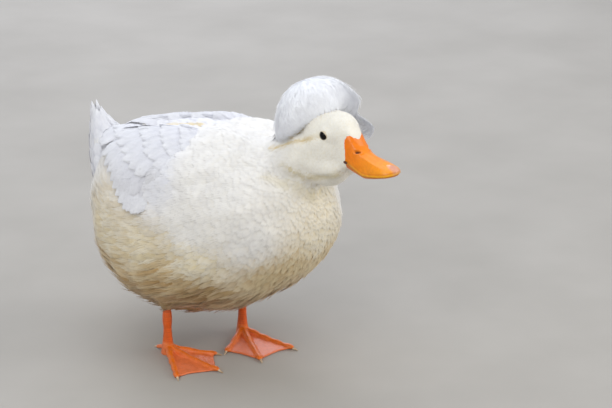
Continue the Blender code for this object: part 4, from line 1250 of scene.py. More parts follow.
def body_feathers(surface):
    """Small feathers over the whole bird: the strips of the smallest, those of the rest, and their tints."""
    draw = np.random.default_rng(SEED)
    places = coat_places(surface)
    count = len(places)
    sizes, tips, roots = groomed(places)[1:]
    bright = draw.uniform(*BRIGHTNESS, count)[:, None]
    tips, roots = tips * bright, roots * bright
    length = sizes[:, 0] * draw.uniform(*LENGTHS, count)
    width = sizes[:, 1] * draw.uniform(*WIDTHS, count)
    # Loose feathers lie in uneven clumps whose tips take on their root tone, partly stain and partly painted
    # shade between the clumps. The rest lie close and smooth.
    rough = looseness(sizes)
    clump = clumps(places, CLUMP_SIZE, 4, 7.0)
    lift = sizes[:, 2] * draw.uniform(*LIFTS, count) * (0.55 + rough * (0.45 + 0.55 * clump))
    tips = mixed(tips, roots, (np.clip(0.42 + 0.95 * clump, 0, 1) * rough * STAIN_AND_SHADE)[:, None])
    width = width * (1 - 0.25 * rough)
    length = length * (1 + 0.45 * rough)
    sink = np.minimum(sizes[:, 3] * 0.7, ROOT_SINK)
    middles, ways, normals = paths_over(surface, places, length, lift, COAT_STATIONS, sink)
    phase = draw.uniform(0, 6.3, count)[:, None]
    wave = rough[:, None] * np.sin(np.linspace(0, 5, COAT_STATIONS)[None] + phase)
    wave = wave * np.linspace(0, WAVE_HEIGHT, COAT_STATIONS)[None]
    aslant = draw.normal(0, 1, count) * (ASLANT[0] + ASLANT[1] * rough)
    middles += np.cross(normals, ways) * wave[..., None]
    ways = turned(ways, normals, np.repeat(aslant[:, None], COAT_STATIONS, 1))
    paths = (middles, ways, normals)
    small = length < SMALL_FEATHER
    batches = []
    for group, fan in ((small, SMALL_FAN), (~small, FAN)):
        index = np.flatnonzero(group)
        strips = [strip_of(paths, index, width[index], rough[index], a, len(fan), draw) for a in fan]
        columns = [np.concatenate(column) for column in zip(*strips)]
        lines = columns[0]
        over = in_eye(lines.reshape(-1, 3), EYE_CLEAR[1]).reshape(lines.shape[:2]).any(axis=1)
        batches.append([column[~over] for column in columns])
    return batches, tips, roots, places


def parted(lines):
    """Splits strips of a three-sided section into runs that each make one piece."""
    per_strip = 2 * 3 * (lines.shape[1] - 1) + 2
    runs = max(1, math.ceil(len(lines) / (PIECE_TRIANGLES // per_strip)))
    return np.array_split(np.arange(len(lines)), runs)


def make_coat(surface):
    """The contour feathers, in pieces that follow the bird from its head to its tail."""
    batches, tips, roots, places = body_feathers(surface)
    origin = unwrap(places)
    for columns, label in zip(batches, ("face", "body")):
        order = np.argsort(-bird_measures(places[columns[3]])[:, 0], kind="stable")
        lines, outs, ups, owner, local, lean = (column[order] for column in columns)
        for run, index in enumerate(parted(lines)):
            whose = owner[index]
            arrays = quills(
                lines[index], outs[index], ups[index], STRIP, 0.35,
                tips[whose], roots[whose], origin[whose], local[index], lean[index],
            )
            coat_object(f"coat_{label}_{run + 1}", arrays, CONTOUR)


# The wings' long feathers, in the torso's measures: tips along a line of (forward, round) places, and
# at both ends of it a length, a width and a slant in degrees.
PRIMARIES = {
    "tips": ((-0.119, 9), (-0.112, 19), (-0.098, 29)),
    "count": 8, "length": (0.105, 0.090), "width": (0.017, 0.018), "slant": (-2, 24),
}
SECONDARIES = {
    "tips": (
        (-0.086, 38), (-0.062, 54), (-0.045, 68), (-0.026, 75), (-0.006, 71), (0.016, 68), (0.036, 64),
    ),
    "count": 18, "length": (0.086, 0.058), "width": (0.021, 0.020), "slant": (28, 46),
}
TERTIALS = {
    "tips": ((-0.104, 7), (-0.082, 20), (-0.052, 36), (-0.022, 50), (0.010, 59), (0.034, 60)),
    "count": 13, "length": (0.085, 0.056), "width": (0.026, 0.022), "slant": (0, 42),
}
SCAPULARS = {
    "tips": ((-0.066, 7), (-0.040, 20), (-0.012, 36), (0.018, 49), (0.044, 58), (0.058, 52)),
    "count": 15, "length": (0.062, 0.044), "width": (0.025, 0.019), "slant": (2, 38),
}
MANTLE = {
    "tips": ((-0.030, 8), (-0.006, 22), (0.020, 36), (0.044, 48), (0.064, 54)),
    "count": 14, "length": (0.050, 0.036), "width": (0.022, 0.017), "slant": (4, 30),
}
COVERTS = {
    "tips": ((0.002, 9), (0.022, 22), (0.040, 35), (0.060, 46), (0.076, 52)),
    "count": 14, "length": (0.040, 0.030), "width": (0.018, 0.015), "slant": (4, 26),
}
WING_TIERS = (PRIMARIES, SECONDARIES, TERTIALS, SCAPULARS, MANTLE, COVERTS)
# Vanes, in metres but for the degrees over which the form's own slope is taken: how deep their roots
# sink, how far they clear the form at least outside that share of their length at the root, and as
# shares of half their width, their least and most camber. Then half their width along them.
VANE_STATIONS = 11
VANE_SPAN = 3.5
VANE_SINK = 0.0020
VANE_CLEARANCE = 0.0012
VANE_ROOT = 0.3
VANE_THICKNESS = 0.0002
VANE_CAMBER = 0.050
VANE_BEND = 0.45
VANE_PROFILE = ((0, 0.25, 0.6, 0.82, 0.92, 0.97, 1.0), (0.45, 0.85, 1.0, 0.95, 0.74, 0.50, 0.16))
# Where the wing slips under the coat: how deep, and where that starts and over how much it grows, in
# metres forward and in degrees round the torso. Behind its rear it comes out again.
WING_FADE_SINK = 0.0090
WING_FADE_FRONT = (0.012, 0.045)
WING_FADE_LOW = (51, 13)
WING_FADE_LOW_FROM = (-0.022, 0.030)
WING_FADE_INNER = (13, 6)
WING_REAR = (-0.05, 0.03)


def wing_lift(t, forward, around, rise):
    """How far a vane stands off the torso at a place on it, part t of the way along the vane."""
    start, full = WING_TIP_REACH
    reach = min(max((forward - start) / (full - start), 0.0), 1.0)
    tip = WING_TIP_LIFT * reach * reach * math.cos(math.radians(min(around, 90))) ** 4
    offset = rise * t**0.8 - VANE_SINK * (1 - t) ** 2
    front = (forward - WING_FADE_FRONT[0]) / WING_FADE_FRONT[1]
    low = min((around - WING_FADE_LOW[0]) / WING_FADE_LOW[1], 1.0)
    low *= min(max((forward - WING_FADE_LOW_FROM[0]) / WING_FADE_LOW_FROM[1], 0.0), 1.0)
    inner = (WING_FADE_INNER[0] - around) / WING_FADE_INNER[1]
    fade = min(max(front, low, inner, 0.0), 1.0)
    under = WING_FADE_SINK * fade * fade * (3 - 2 * fade)
    if forward < WING_REAR[0]:
        under *= max(1 + (forward - WING_REAR[0]) / WING_REAR[1], 0.0)
    return max(wing_rise(forward, around) + offset, VANE_CLEARANCE if t > VANE_ROOT else -1.0) + tip - under


def vane_rows(surface_point, root, tip, width, lift, roll, draw):
    """One broad feather over surface_point(u, v, lift): its middles, outs and ups, station by station."""
    def place_at(t):
        return (root[k] + (tip[k] - root[k]) * t for k in (0, 1))

    def laid(t, aside=0.0):
        t = min(max(t, 0.0), 1.0)
        u, v = place_at(t)
        return surface_point(u, v + aside, lift(t, u, v + aside))

    rows = []
    split = draw.uniform(0.45, 0.85)
    for j in range(VANE_STATIONS):
        t = j / (VANE_STATIONS - 1)
        here = laid(t)
        u, v = place_at(t)
        above = surface_point(u, v, lift(t, u, v) + 0.0005)
        lengthwise = (laid(t + 0.03) - laid(t - 0.03)).normalized()
        span = laid(t, VANE_SPAN) - laid(t, -VANE_SPAN)
        normal = span.cross(lengthwise).normalized()
        if normal.dot(above - here) < 0:
            normal.negate()
        out = normal.cross(lengthwise).normalized()
        out = (out * math.cos(roll) - normal * math.sin(roll)).normalized()
        up = lengthwise.cross(out).normalized()
        half = width / 2 * np.interp(t, *VANE_PROFILE)
        half *= 1 - 0.10 * hump(t, split, 0.05) + draw.uniform(-0.02, 0.02)
        # The vane bends over the form under it, so that both its edges lie on that.
        edge = half / span.length * 2 * VANE_SPAN
        sag = (here - (laid(t, edge) + laid(t, -edge)) / 2).dot(normal)
        sag = min(max(sag, VANE_CAMBER * half), VANE_BEND * half)
        rows.append(((here - normal * sag)[:], (out * half)[:], (up * (VANE_THICKNESS + sag))[:]))
    return rows


BARBS = 26
BARB_STATIONS = 4
BARB_SLANT = 1.5
BARB_START = 0.22
BARB_SPAN = 0.775
BARB_RISE = 0.00025
BARB_THICKNESS = 0.00022


def barbed(rows, tips, roots, origin, draw):
    """Broad feathers from their rows: a thin blade, its shaft, and the barbs that run out to its edges."""
    middles, outs, ups = rows[:, :, 0], rows[:, :, 1], rows[:, :, 2]
    count, stations = middles.shape[:2]
    parts = [quills(middles, outs * 0.93, ups, BLADE, 0.22, tips, roots, origin)]
    thin = np.interp(np.linspace(0, 1, stations), [0, 0.8, 1], [0.0007, 0.0004, 0.0001])
    shaft = unit(outs) * thin[None, :, None]
    crown, thick = middles + ups, unit(ups) * 0.0003
    parts.append(quills(crown, shaft, thick, STRIP, 0.8, tips * 0.93, roots * 0.93, origin))
    length = np.linalg.norm(middles[:, -1] - middles[:, 0], axis=1)
    width = np.linalg.norm(outs, axis=2).max(axis=1)
    step = BARB_SPAN * length / (BARBS - 1)
    u = np.linspace(0, 1, BARB_STATIONS)
    for side in (-1, 1):
        for j in range(BARBS):
            start = BARB_START + BARB_SPAN * (j + draw.uniform(-0.3, 0.3, count)) / (BARBS - 1)
            advance = BARB_SLANT * width / length * draw.uniform(0.92, 1.08, count)
            t = np.minimum(start[:, None] + advance[:, None] * u[None] ** 1.2, 1.0)
            middle, out, up = (part_way(data, np.arange(count), t) for data in (middles, outs, ups))
            x = (side * u[None] * (1 + draw.normal(0, 0.025, count))[:, None])[..., None]
            line = middle + out * x + up * (1 - x**2) + unit(up) * BARB_RISE
            normal = unit(unit(up) + unit(out) * (x * 0.22))
            across = unit(np.cross(normal, unit(np.gradient(line, axis=1))))
            half = (0.62 * step)[:, None] * np.interp(u, [0, 0.7, 1], [0.75, 0.8, 0.25])[None]
            tone = draw.uniform(0.97, 1.02, count)[:, None]
            shade = mixed(roots, tips, np.clip(start, 0, 1)[:, None] ** 1.3) * tone
            local = np.stack([side * np.full(count, 0.2), start - 0.5], axis=1)
            parts.append(quills(
                line, across * half[..., None], normal * BARB_THICKNESS, STRIP, 0.30, shade, shade * 0.985,
                origin, local,
            ))
    merged_parts, offset = [], 0
    for points, faces, *rest in parts:
        merged_parts.append((points, faces + offset, *rest))
        offset += len(points)
    return tuple(np.concatenate(column) for column in zip(*merged_parts))


def make_wing(name, sign):
    """The folded wing's flight feathers and coverts, lowest tier first."""
    draw = np.random.default_rng(SEED + 2 + sign)
    rows, tips, roots = [], [], []
    for level, tier in enumerate(WING_TIERS):
        last = len(tier["tips"]) - 1
        knots = [[(j / last, tip[k]) for j, tip in enumerate(tier["tips"])] for k in (0, 1)]
        rise = 0.0010 + 0.0004 * level
        for j in range(tier["count"]):
            t = j / (tier["count"] - 1)
            tip = [along(line, t) for line in knots]
            length, width, slant = (
                tier[key][0] + (tier[key][1] - tier[key][0]) * t for key in ("length", "width", "slant")
            )
            length *= draw.uniform(0.96, 1.06)
            slant = math.radians(slant + draw.uniform(-2.5, 2.5))
            round_it = math.degrees(length * math.sin(slant) / TORSO_HALF_WIDTH[1])
            tip = (tip[0] + draw.uniform(-0.002, 0.002), tip[1] + draw.uniform(-0.8, 0.8))
            root = (tip[0] + length * math.cos(slant), max(tip[1] - round_it, 5))
            rows.append(vane_rows(
                lambda u, v, lift: torso_point(u, v, lift, sign), root, tip, width,
                lambda t, u, v: wing_lift(t, u, v, rise), sign * math.radians(0.6), draw,
            ))
            # The roots are greyer and bluer than the tips: painted shade where each feather lies under the
            # ones above it.
            shade = draw.uniform(0.97, 1.0)
            tips.append(np.array(colour("F7F7F9")) * shade)
            roots.append(np.array(colour("E8E8EF")) * shade)
    rows = np.array(rows)
    arrays = barbed(rows, np.array(tips), np.array(roots), unwrap(rows[:, 0, 0]), draw)
    coat_object("wing_feathers_" + name, arrays, QUILLED, "wing_" + name)


# Tail: how far apart its tips stand on each side of the middle, and rings of coverts round the rump:
# how far along it they end, their count, their length, both as shares of the rump's, and their width.
TAIL_FEATHERS = 14
TAIL_VANE_WIDTH = 0.0095
TAIL_NOTCH = 0.0036
TAIL_FAN = 0.0020
TAIL_PROFILE = ((0, 0.3, 0.6, 0.8, 0.93, 1.0), (0.5, 0.9, 1.0, 0.72, 0.34, 0.05))
RUMP_COVERTS = (
    (0.60, 13, 0.52, 0.0200), (0.78, 12, 0.46, 0.0170), (0.94, 11, 0.44, 0.0140), (1.08, 10, 0.42, 0.0115),
    (1.20, 9, 0.40, 0.0090),
)


def tail_feather(k, draw):
    """The rows of one feather of the fan, counted from the bird's left."""
    s = 2 * k / (TAIL_FEATHERS - 1) - 1
    turn = TAIL.to_3x3()
    low = -0.0016 * abs(k - (TAIL_FEATHERS - 1) / 2)
    root = at(-TAIL_ROOT, -s * TAIL_HALF_WIDTH * 0.55, low * 0.5)
    apart = math.copysign(TAIL_NOTCH, s) + s * TAIL_FAN
    tip = at(TAIL_LENGTH - 0.016 * abs(s) ** 1.6 + draw.uniform(-0.001, 0.001), -apart, low)
    out, up = turn @ Vector((1, 0, -0.25 * s)).normalized(), turn @ Vector((0.25 * s, 0, 1)).normalized()
    rows = []
    for j in range(VANE_STATIONS):
        t = j / (VANE_STATIONS - 1)
        half = TAIL_VANE_WIDTH / 2 * np.interp(t, *TAIL_PROFILE)
        here = TAIL @ (root + (tip - root) * t + Vector((0, 0, 0.003 * t * t)))
        rows.append((here[:], (out * half)[:], (up * (VANE_THICKNESS + VANE_CAMBER * half))[:]))
    return rows


def make_tail():
    """The short folded fan and the rings of coverts that hide its roots."""
    draw = np.random.default_rng(SEED + 9)
    rows = [tail_feather(k, draw) for k in range(TAIL_FEATHERS)]
    for ring, (end, count, length, width) in enumerate(RUMP_COVERTS):
        for k in range(count):
            round_it = 360 * (k + 0.5 * (ring % 2) + draw.uniform(-0.1, 0.1)) / count
            rows.append(vane_rows(
                rump_point, (end - length, round_it), (end * draw.uniform(0.96, 1.04), round_it), width,
                lambda t, u, v: 0.0016 * t - VANE_SINK * (1 - t), math.radians(3), draw,
            ))
    rows = np.array(rows)
    shade = draw.uniform(0.97, 1.0, len(rows))[:, None]
    # The roots are greyer than the tips: painted shade under the overlapping feathers.
    tips, roots = (np.array([colour(tone)]) * shade for tone in ("F9F9FB", "EAEAF1"))
    coat_object("tail_feathers", barbed(rows, tips, roots, unwrap(rows[:, 0, 0]), draw), QUILLED, "tail")


# Crest: a mop of fine feathers on the crown. Places on its globe are degrees down from its own top and
# degrees round it from the front. Its hem, where it meets the head, is (round, down), alike on both
# sides but for the longer left lobe. The lobe and the pear of its back change its size by (down, share).
CREST_STRANDS = 9600
CREST_STRAND_WIDTH = 0.0013
CREST_STATIONS = 7
CREST_HEM = (
    (0, 90), (15, 89), (32, 87), (51, 88), (76, 99), (95, 107), (112, 112), (126, 111), (140, 111),
    (180, 116),
)
CREST_HEM_LOBE = 52
CREST_ROLL = 26
CREST_LOBE = (
    (70, 0.0), (84, 0.04), (94, -0.02), (103, -0.13), (109, -0.14), (115, 0.14), (122, 0.36), (132, 0.40),
    (142, 0.30),
)
CREST_PEAR = ((20, 0.0), (45, 0.05), (65, 0.06), (85, 0.01), (100, -0.03), (120, -0.02))
CREST_PEAR_TURN = -138
CREST_PEAR_SPREAD = 50
# It thins towards its hem round this turn, over this spread, from this far down.
CREST_TAPER = 0.88
CREST_TAPER_TURN = -34
CREST_TAPER_SPREAD = 66
CREST_TAPER_FROM = 42
CREST_COMB = 50
CREST_OVER = -18
CREST_SMOOTH = 1.6
# Shares of the strands and what they do: those that end close to the hem, and within how many degrees;
# those that stand off the mop's face or lie sunk in it, and how far; those within the far lobe; and how
# far off the face the others end.
EDGE_STRANDS = 0.22
EDGE_SPREAD = 7
STRAY_STRANDS = 0.11
STRAY_REACH = (0.01, 0.055)
SUNK_STRANDS = 0.22
SUNK_REACH = (-0.16, -0.04)
LOBE_STRANDS = 0.45
LOBE_STRAND_REACH = (-0.34, 0.0)
FACE_REACH = (-0.035, 0.008)
# The grid of directions in which the skull under it is measured, in degrees, and from how far out.
SKULL_DOWN_STEP = 3.0
SKULL_TURN_STEP = 5.0
SKULL_FROM = 1.5


def crest_points(down, turn, share):
    """Points of the crest's globe: degrees from its top, degrees round it, and the share of its size."""
    polar, round_it = np.radians(down), np.radians(turn)
    way = (np.sin(polar) * np.sin(round_it), -np.sin(polar) * np.cos(round_it), np.cos(polar))
    radii = np.array([CREST_RADII[1], CREST_RADII[0], CREST_RADII[2]])
    globe = np.stack(way, axis=-1) * radii * share[..., None]
    place = np.array(CREST)
    return globe @ place[:3, :3].T + place[:3, 3]


class Skull:
    """How far out the skin lies in the crest's globe, as a share of its size."""

    def __init__(self, surface):
        downs, turns = np.arange(0, 151, SKULL_DOWN_STEP), np.arange(-180, 181, SKULL_TURN_STEP)
        down, turn = np.meshgrid(downs, turns, indexing="ij")
        far = crest_points(down.ravel(), turn.ravel(), np.full(down.size, SKULL_FROM))
        centre = np.array(CREST)[:3, 3]
        shares = np.full(down.size, CREST_CORE)
        for i, place in enumerate(far):
            way = centre - place
            spot = surface.tree.ray_cast(place, way)[0]
            if spot is not None:
                shares[i] = SKULL_FROM * (1 - np.linalg.norm(np.array(spot) - place) / np.linalg.norm(way))
        self.shares = shares.reshape(down.shape)

    def share(self, down, turn):
        """The skin's share in any direction, between those of the grid."""
        rows, columns = self.shares.shape
        a = np.clip(abs(down) / SKULL_DOWN_STEP, 0, rows - 1.001)
        b = np.clip(np.mod(turn + 180, 360) / SKULL_TURN_STEP, 0, columns - 1.001)
        i, k = a.astype(int), b.astype(int)
        f, g = a - i, b - k
        near = mixed(self.shares[i, k], self.shares[i + 1, k], f)
        return mixed(near, mixed(self.shares[i, k + 1], self.shares[i + 1, k + 1], f), g)


def in_lobe(turn):
    """1 at the middle of the crest's far lobe, falling to 0 on both sides of it."""
    return np.exp(-(((turn - CREST_LOBE_TURN) / CREST_LOBE_SPREAD) ** 2))


def crest_hem(turn):
    """How far down the crest reaches."""
    return np.interp(abs(turn), *zip(*CREST_HEM)) + CREST_HEM_LOBE * in_lobe(turn)


def crest_face(skull, down, turn):
    """The mop's outer face: full size down to its roll, then in to the head."""
    lobe, hem = in_lobe(turn), crest_hem(turn)
    out = 1 + lobe * np.interp(abs(down), *zip(*CREST_LOBE))
    # Behind its near side it hangs like a pear, slimmer above and fuller low down.
    behind = (np.mod(turn - CREST_PEAR_TURN + 180, 360) - 180) / CREST_PEAR_SPREAD
    out = out * (1 - np.exp(-(behind**2)) * np.interp(abs(down), *zip(*CREST_PEAR)))
    skin_end = np.minimum(skull.share(hem, turn), 1.0)
    # Over the near brow and the forehead it thins towards its hem, and elsewhere it hangs full.
    thin = np.exp(-(((turn - CREST_TAPER_TURN) / CREST_TAPER_SPREAD) ** 4)) * CREST_TAPER
    slope = np.clip((abs(down) - CREST_TAPER_FROM) / (hem - CREST_TAPER_FROM), 0, 1)
    out = out - thin * np.maximum(out - skin_end - 0.03, 0) * slope**2 * (3 - 2 * slope)
    end = skin_end * (1 - 0.7 * lobe) + 0.7 * lobe * out
    inward = np.clip((abs(down) - (hem - CREST_ROLL)) / CREST_ROLL, 0, 1)
    return end + (out - end) * np.sqrt(1 - inward**2 + 1e-9)


def strand_ends(draw):
    """How far round and how far down each strand ends."""
    turn = draw.uniform(-180, 180, CREST_STRANDS)
    hem = crest_hem(turn)
    even = draw.random(CREST_STRANDS)
    low = np.degrees(np.arccos(1 - even * (1 - np.cos(np.radians(hem)))))
    # A share of the strands ends close to the hem and closes the mop on the head.
    edge = draw.random(CREST_STRANDS) < EDGE_STRANDS
    low[edge] = hem[edge] + 3.0 * (abs(turn[edge]) < 75) - abs(draw.normal(0, EDGE_SPREAD, edge.sum()))
    return turn, low - 5.0 * np.clip((abs(turn) - 112) / 12, 0, 1) * (low > 90)


def strand_stray(turn, low, draw):
    """How far each strand's tip stands off the mop's outer face, or lies within it where that is below 0."""
    count = CREST_STRANDS
    stray = (draw.random(count) < STRAY_STRANDS) & (low < crest_hem(turn) - 22)
    fuzz = np.where(stray, draw.uniform(*STRAY_REACH, count), draw.uniform(*FACE_REACH, count))
    fuzz = np.where(draw.random(count) < SUNK_STRANDS, draw.uniform(*SUNK_REACH, count), fuzz)
    # The lobe's inner strands fill it towards the head.
    inside = (low > 104) & (abs(turn - CREST_LOBE_TURN) < CREST_LOBE_SPREAD)
    inner = (draw.random(count) < LOBE_STRANDS) & inside
    return np.where(inner, draw.uniform(*LOBE_STRAND_REACH, count), fuzz)


def strand_lines(surface, draw):
    """The strands' middles and their unit outs and ups, station by station."""
    skull = Skull(surface)
    turn, low = strand_ends(draw)
    comb = CREST_COMB * draw.uniform(0.75, 1.2, CREST_STRANDS)
    root = np.maximum(low - comb, CREST_OVER)
    t = np.linspace(0, 1, CREST_STATIONS)[None]
    waves = 2.0 * np.sin(np.radians(turn * 7 + 40)) + 1.2 * np.sin(np.radians(turn * 17 + low * 2))
    drift = draw.normal(0, 4.5, CREST_STRANDS) + waves * 0.5
    down = root[:, None] + (low - root)[:, None] * t
    round_it = turn[:, None] + drift[:, None] * t**1.5
    outer = crest_face(skull, down, round_it)
    fuzz = strand_stray(turn, low, draw)
    # At the whorl on top the strands start from the surface, so that no pit is left.
    lying = np.clip(1 - root / 22, 0, 1)[:, None]
    base = mixed(np.minimum(CREST_CORE + 0.02, outer), outer - 0.03, lying)
    share = base + (outer + fuzz[:, None] * t**2 - base) * (1 - (1 - t) ** 2.4)
    share = np.maximum(share, np.minimum(skull.share(down, round_it), 1.2) + 0.004 * (t > 0.3))
    middles = crest_points(down, round_it, share)
    ways = unit(np.gradient(middles, axis=1))
    outs = unit(np.cross(unit(crest_points(down, round_it, share + 0.01) - middles), ways))
    return middles, outs, unit(np.cross(ways, outs))


def make_crest(surface):
    """Fine feathers that rise from the crown, droop on all sides and curl in where they meet the head."""
    draw = np.random.default_rng(SEED + 5)
    middles, outs, ups = strand_lines(surface, draw)
    # The mop is shaded mostly as the round form that its strands make together.
    globe = unit(middles - np.array(CREST)[:3, 3])
    globe[..., 2] = np.maximum(globe[..., 2], -0.1)
    lean = unit(globe) * CREST_SMOOTH
    half = CREST_STRAND_WIDTH / 2 * draw.uniform(0.7, 1.3, CREST_STRANDS)
    profile = np.interp(np.linspace(0, 1, CREST_STATIONS), [0, 0.4, 0.8, 1.0], [0.7, 1.0, 0.85, 0.12])
    outs = outs * (half[:, None] * profile[None])[..., None]
    ups = ups * (half[:, None] * 0.22 * (0.4 + 0.6 * profile[None]))[..., None]
    bright = draw.uniform(0.94, 1.03, CREST_STRANDS)[:, None]
    tips, roots = (np.array([colour(tone)]) * bright for tone in ("F7F8FA", "EEF0F5"))
    origin = unwrap(middles[:, 0])
    for run, index in enumerate(parted(middles)):
        arrays = quills(
            middles[index], outs[index], ups[index], STRIP, 0.25, tips[index], roots[index], origin[index],
            lean=lean[index],
        )
        coat_object(f"crest_feathers_{run + 1}", arrays, GLOWING_MOP_STRANDS, *(("crest",) if run == 0 else ()))


# Eyes and lids: the ball's radius, half the length and height of the lids' opening and their lean, how
# far from the opening's middle they reach, how thick they stand on the ball and how deep they sink in.
EYE_BALL = 0.0056
EYE_OPENING = (0.0050, 0.0040)
EYE_LEAN = math.radians(20)
PUPIL_EDGE = (26, 4)
LID_REACH = 0.0056
LID_SWELL = 0.00035
LID_SINK = -0.0005
LID_SECTIONS = 64
LID_POINTS = 12


def make_eyeball(name, sign):
    """An eyeball, with its pupil and iris as tints."""
    place = eye_frame(sign)
    eye = ball(place, (EYE_BALL,) * 3, 48, 32)
    axis = np.array(place.to_3x3() @ Vector((sign, 0, 0)))
    out = (points_of(eye) - np.array(place.translation)) @ axis / EYE_BALL
    turn = np.degrees(np.arccos(np.clip(out, -1, 1)))
    share = np.clip((turn - PUPIL_EDGE[0]) / PUPIL_EDGE[1], 0, 1)[:, None]
    paint(eye.data, mixed(np.array(colour("030303")), np.array(colour("150C07")), share))
    dressed(eye, f"eyeball_{name}", EYE, "eye", "eye_" + name)


def lid_section(place, sign, angle):
    """The lid's section at an angle round the eye, from the opening to where the skin takes over."""
    section = []
    for k in range(LID_POINTS):
        q = abs(2 * k - LID_POINTS + 1) / (LID_POINTS - 1)
        a, b = ((1 - q) * near + q * LID_REACH for near in EYE_OPENING)
        a, b = a * math.cos(angle), b * math.sin(angle)
        ahead = a * math.cos(EYE_LEAN) + b * math.sin(EYE_LEAN)
        up = b * math.cos(EYE_LEAN) - a * math.sin(EYE_LEAN)
        shell = EYE_BALL + (LID_SWELL * (1 - 0.4 * q) if k < LID_POINTS / 2 else LID_SINK)
        out_by = math.sqrt(max(shell**2 - ahead**2 - up**2, 0.0))
        section.append(place @ Vector((sign * out_by, -ahead, up)))
    return section


def make_lid(name, sign):
    """The bare rim of an eye's lids, a thin shell on the eyeball."""
    place = eye_frame(sign)
    rings = [lid_section(place, sign, 2 * math.pi * i / LID_SECTIONS) for i in range(LID_SECTIONS)]
    lid = loft("lid", [*rings, rings[0]], caps=False)
    reworked(lid.data, lambda mesh: merged(mesh, 1e-6))
    reworked(lid.data, facing_out)
    dressed(lid, f"eyelid_rim_{name}", LID, None)


# Bill.
BILL_RINGS = 190
BILL_POINTS = 104
MANDIBLE_REACH = 0.97
MANDIBLE_POWER = 2.4
# How deep the nostrils are, how high their rims stand, and how the ovals slant.
NOSTRIL_DEPTH = 0.0020
NOSTRIL_RIM = 0.00055
NOSTRIL_SLANT = 1.05
NAIL_RISE = 0.0006
NAIL_HALF = (0.0066, 0.0050)
SHOULDER_RISE = 0.00055
TROUGH_DEPTH = 0.0006
LAMELLA_STEP = 0.0013
LAMELLA_DEPTH = 0.00028
RIM_FLARE = 0.0005
RIM_FALL = 0.0020
MOUTH_GAP = 0.00015
MOUTH_CORNER = (0.0176, 0.0139, -0.0032)
BILL_ORANGE, BILL_DEEP, BILL_YELLOW, BILL_CHIN, NAIL_LILAC, NOSTRIL_SHADE = (
    np.array(colour(tone)) for tone in ("FF8604", "F46600", "FFC026", "C25A18", "D2A2A0", "1A0502")
)


def over_span(t, start, length):
    """A smooth rise and fall over a span, 0 before and after it."""
    return math.sin(math.pi * min(max((t - start) / length, 0), 1))


def bill_relief(forward, t, side, angle, edge):
    """The upper bill's detail: how far a point stands out, and its shares of the nostril and the nail."""
    turn = min(angle, math.pi - angle)
    # The nostrils are long ovals with a raised rim, set a little aslant.
    a = forward - NOSTRIL_FORWARD
    b = (NOSTRIL_ANGLE - turn) * NOSTRIL_RADIUS + NOSTRIL_SLANT * a
    r = (a / NOSTRIL_HALF[0]) ** 2 + (b / NOSTRIL_HALF[1]) ** 2
    pit = math.exp(-min(r, 30.0) ** 3)
    out = -NOSTRIL_DEPTH * pit + NOSTRIL_RIM * math.exp(-((math.sqrt(r) - 1.75) ** 2) / 0.18)
    # The nail at the tip has its own step.
    n = ((forward - NAIL_PLACE[0]) / NAIL_HALF[0]) ** 2 + (side / NAIL_HALF[1]) ** 2
    nail = step_down(n - 1.0, 0.30)
    out += NAIL_RISE * nail
    # The shoulder between the ridge and each side is a soft edge that catches the light.
    out += SHOULDER_RISE * hump(math.degrees(turn), 50, 8) * over_span(t, 0.12, 0.75)
    # A shallow trough runs beside the ridge, from the nostril to the nail.
    out -= TROUGH_DEPTH * hump(abs(side), 0.0068, 0.0024) * over_span(t, 0.38, 0.5)
    # Lamellae show as small teeth along the rim.
    if 0.26 < t < 0.92:
        out -= LAMELLA_DEPTH * edge * (1 + math.cos(2 * math.pi * forward / LAMELLA_STEP)) / 2
    return out, pit, nail


def bill_tint(t, up, below, edge, pit, nail):
    """Orange, deeper at the root, with a yellow rim, a lilac nail, and nostrils painted near black as the
    shade inside their openings.
    """
    shade = mixed(BILL_ORANGE, BILL_ORANGE * 0.6 + BILL_YELLOW * 0.4, t)
    shade = mixed(shade, BILL_DEEP, 0.60 * max(0.0, 1 - t / 0.55))
    if below:
        shade = mixed(shade, BILL_CHIN, 0.75)
    shade = mixed(shade, BILL_YELLOW, edge * (0.25 if below else 0.85))
    if not below:
        shade = mixed(shade, BILL_DEEP * 0.8, 0.45 * hump(up, 0.0030, 0.0007) * min(t / 0.1, 1.0))
    # Painted shade: the nostril's pit is near black, as the shade inside its opening.
    shade = mixed(shade, NOSTRIL_SHADE, 0.96 * pit)
    return mixed(shade, NAIL_LILAC, 0.70 * nail)


def bill_half(name, widths, heights, below):
    """Half of the bill: a loft with a nearly flat face on the mouth line, its detail pressed into it."""
    rows, tints = [], []
    for i in range(BILL_RINGS + 1):
        t = math.sin(math.pi / 2 * i / BILL_RINGS) * (MANDIBLE_REACH if below else 1.0)
        forward, width, height = t * BILL_LENGTH, along(widths, t), along(heights, t)
        if not below:
            height += smile(t)
        power = MANDIBLE_POWER if below else along(BILL_SQUARE, t)
        row = []
        for k in range(BILL_POINTS + 1):
            angle = math.pi * k / BILL_POINTS
            side = signed_power(math.cos(angle), 2 / power) * width
            up = max(math.sin(angle), 0.0) ** (2 / power) * height + MOUTH_GAP
            edge = math.exp(-up / RIM_FALL)
            out, pit, nail = (0.0, 0.0, 0.0) if below else bill_relief(forward, t, side, angle, edge)
            scale = 1.0 if k in (0, BILL_POINTS) else 1 + out / max(math.hypot(side, up), 1e-4)
            flare = math.copysign(RIM_FLARE * edge * min(t / 0.2, 1.0), side)
            row.append(BILL @ at(forward, side * scale + flare, (-up if below else up) * scale - smile(t)))
            tints.append(bill_tint(t, up, below, edge, pit, nail))
        rows.append(row)
    half = loft(name, rows)
    paint(half.data, np.array(tints))
    dressed(half, name, BILL_SHEATH, "bill", name.replace("_sheath", ""))


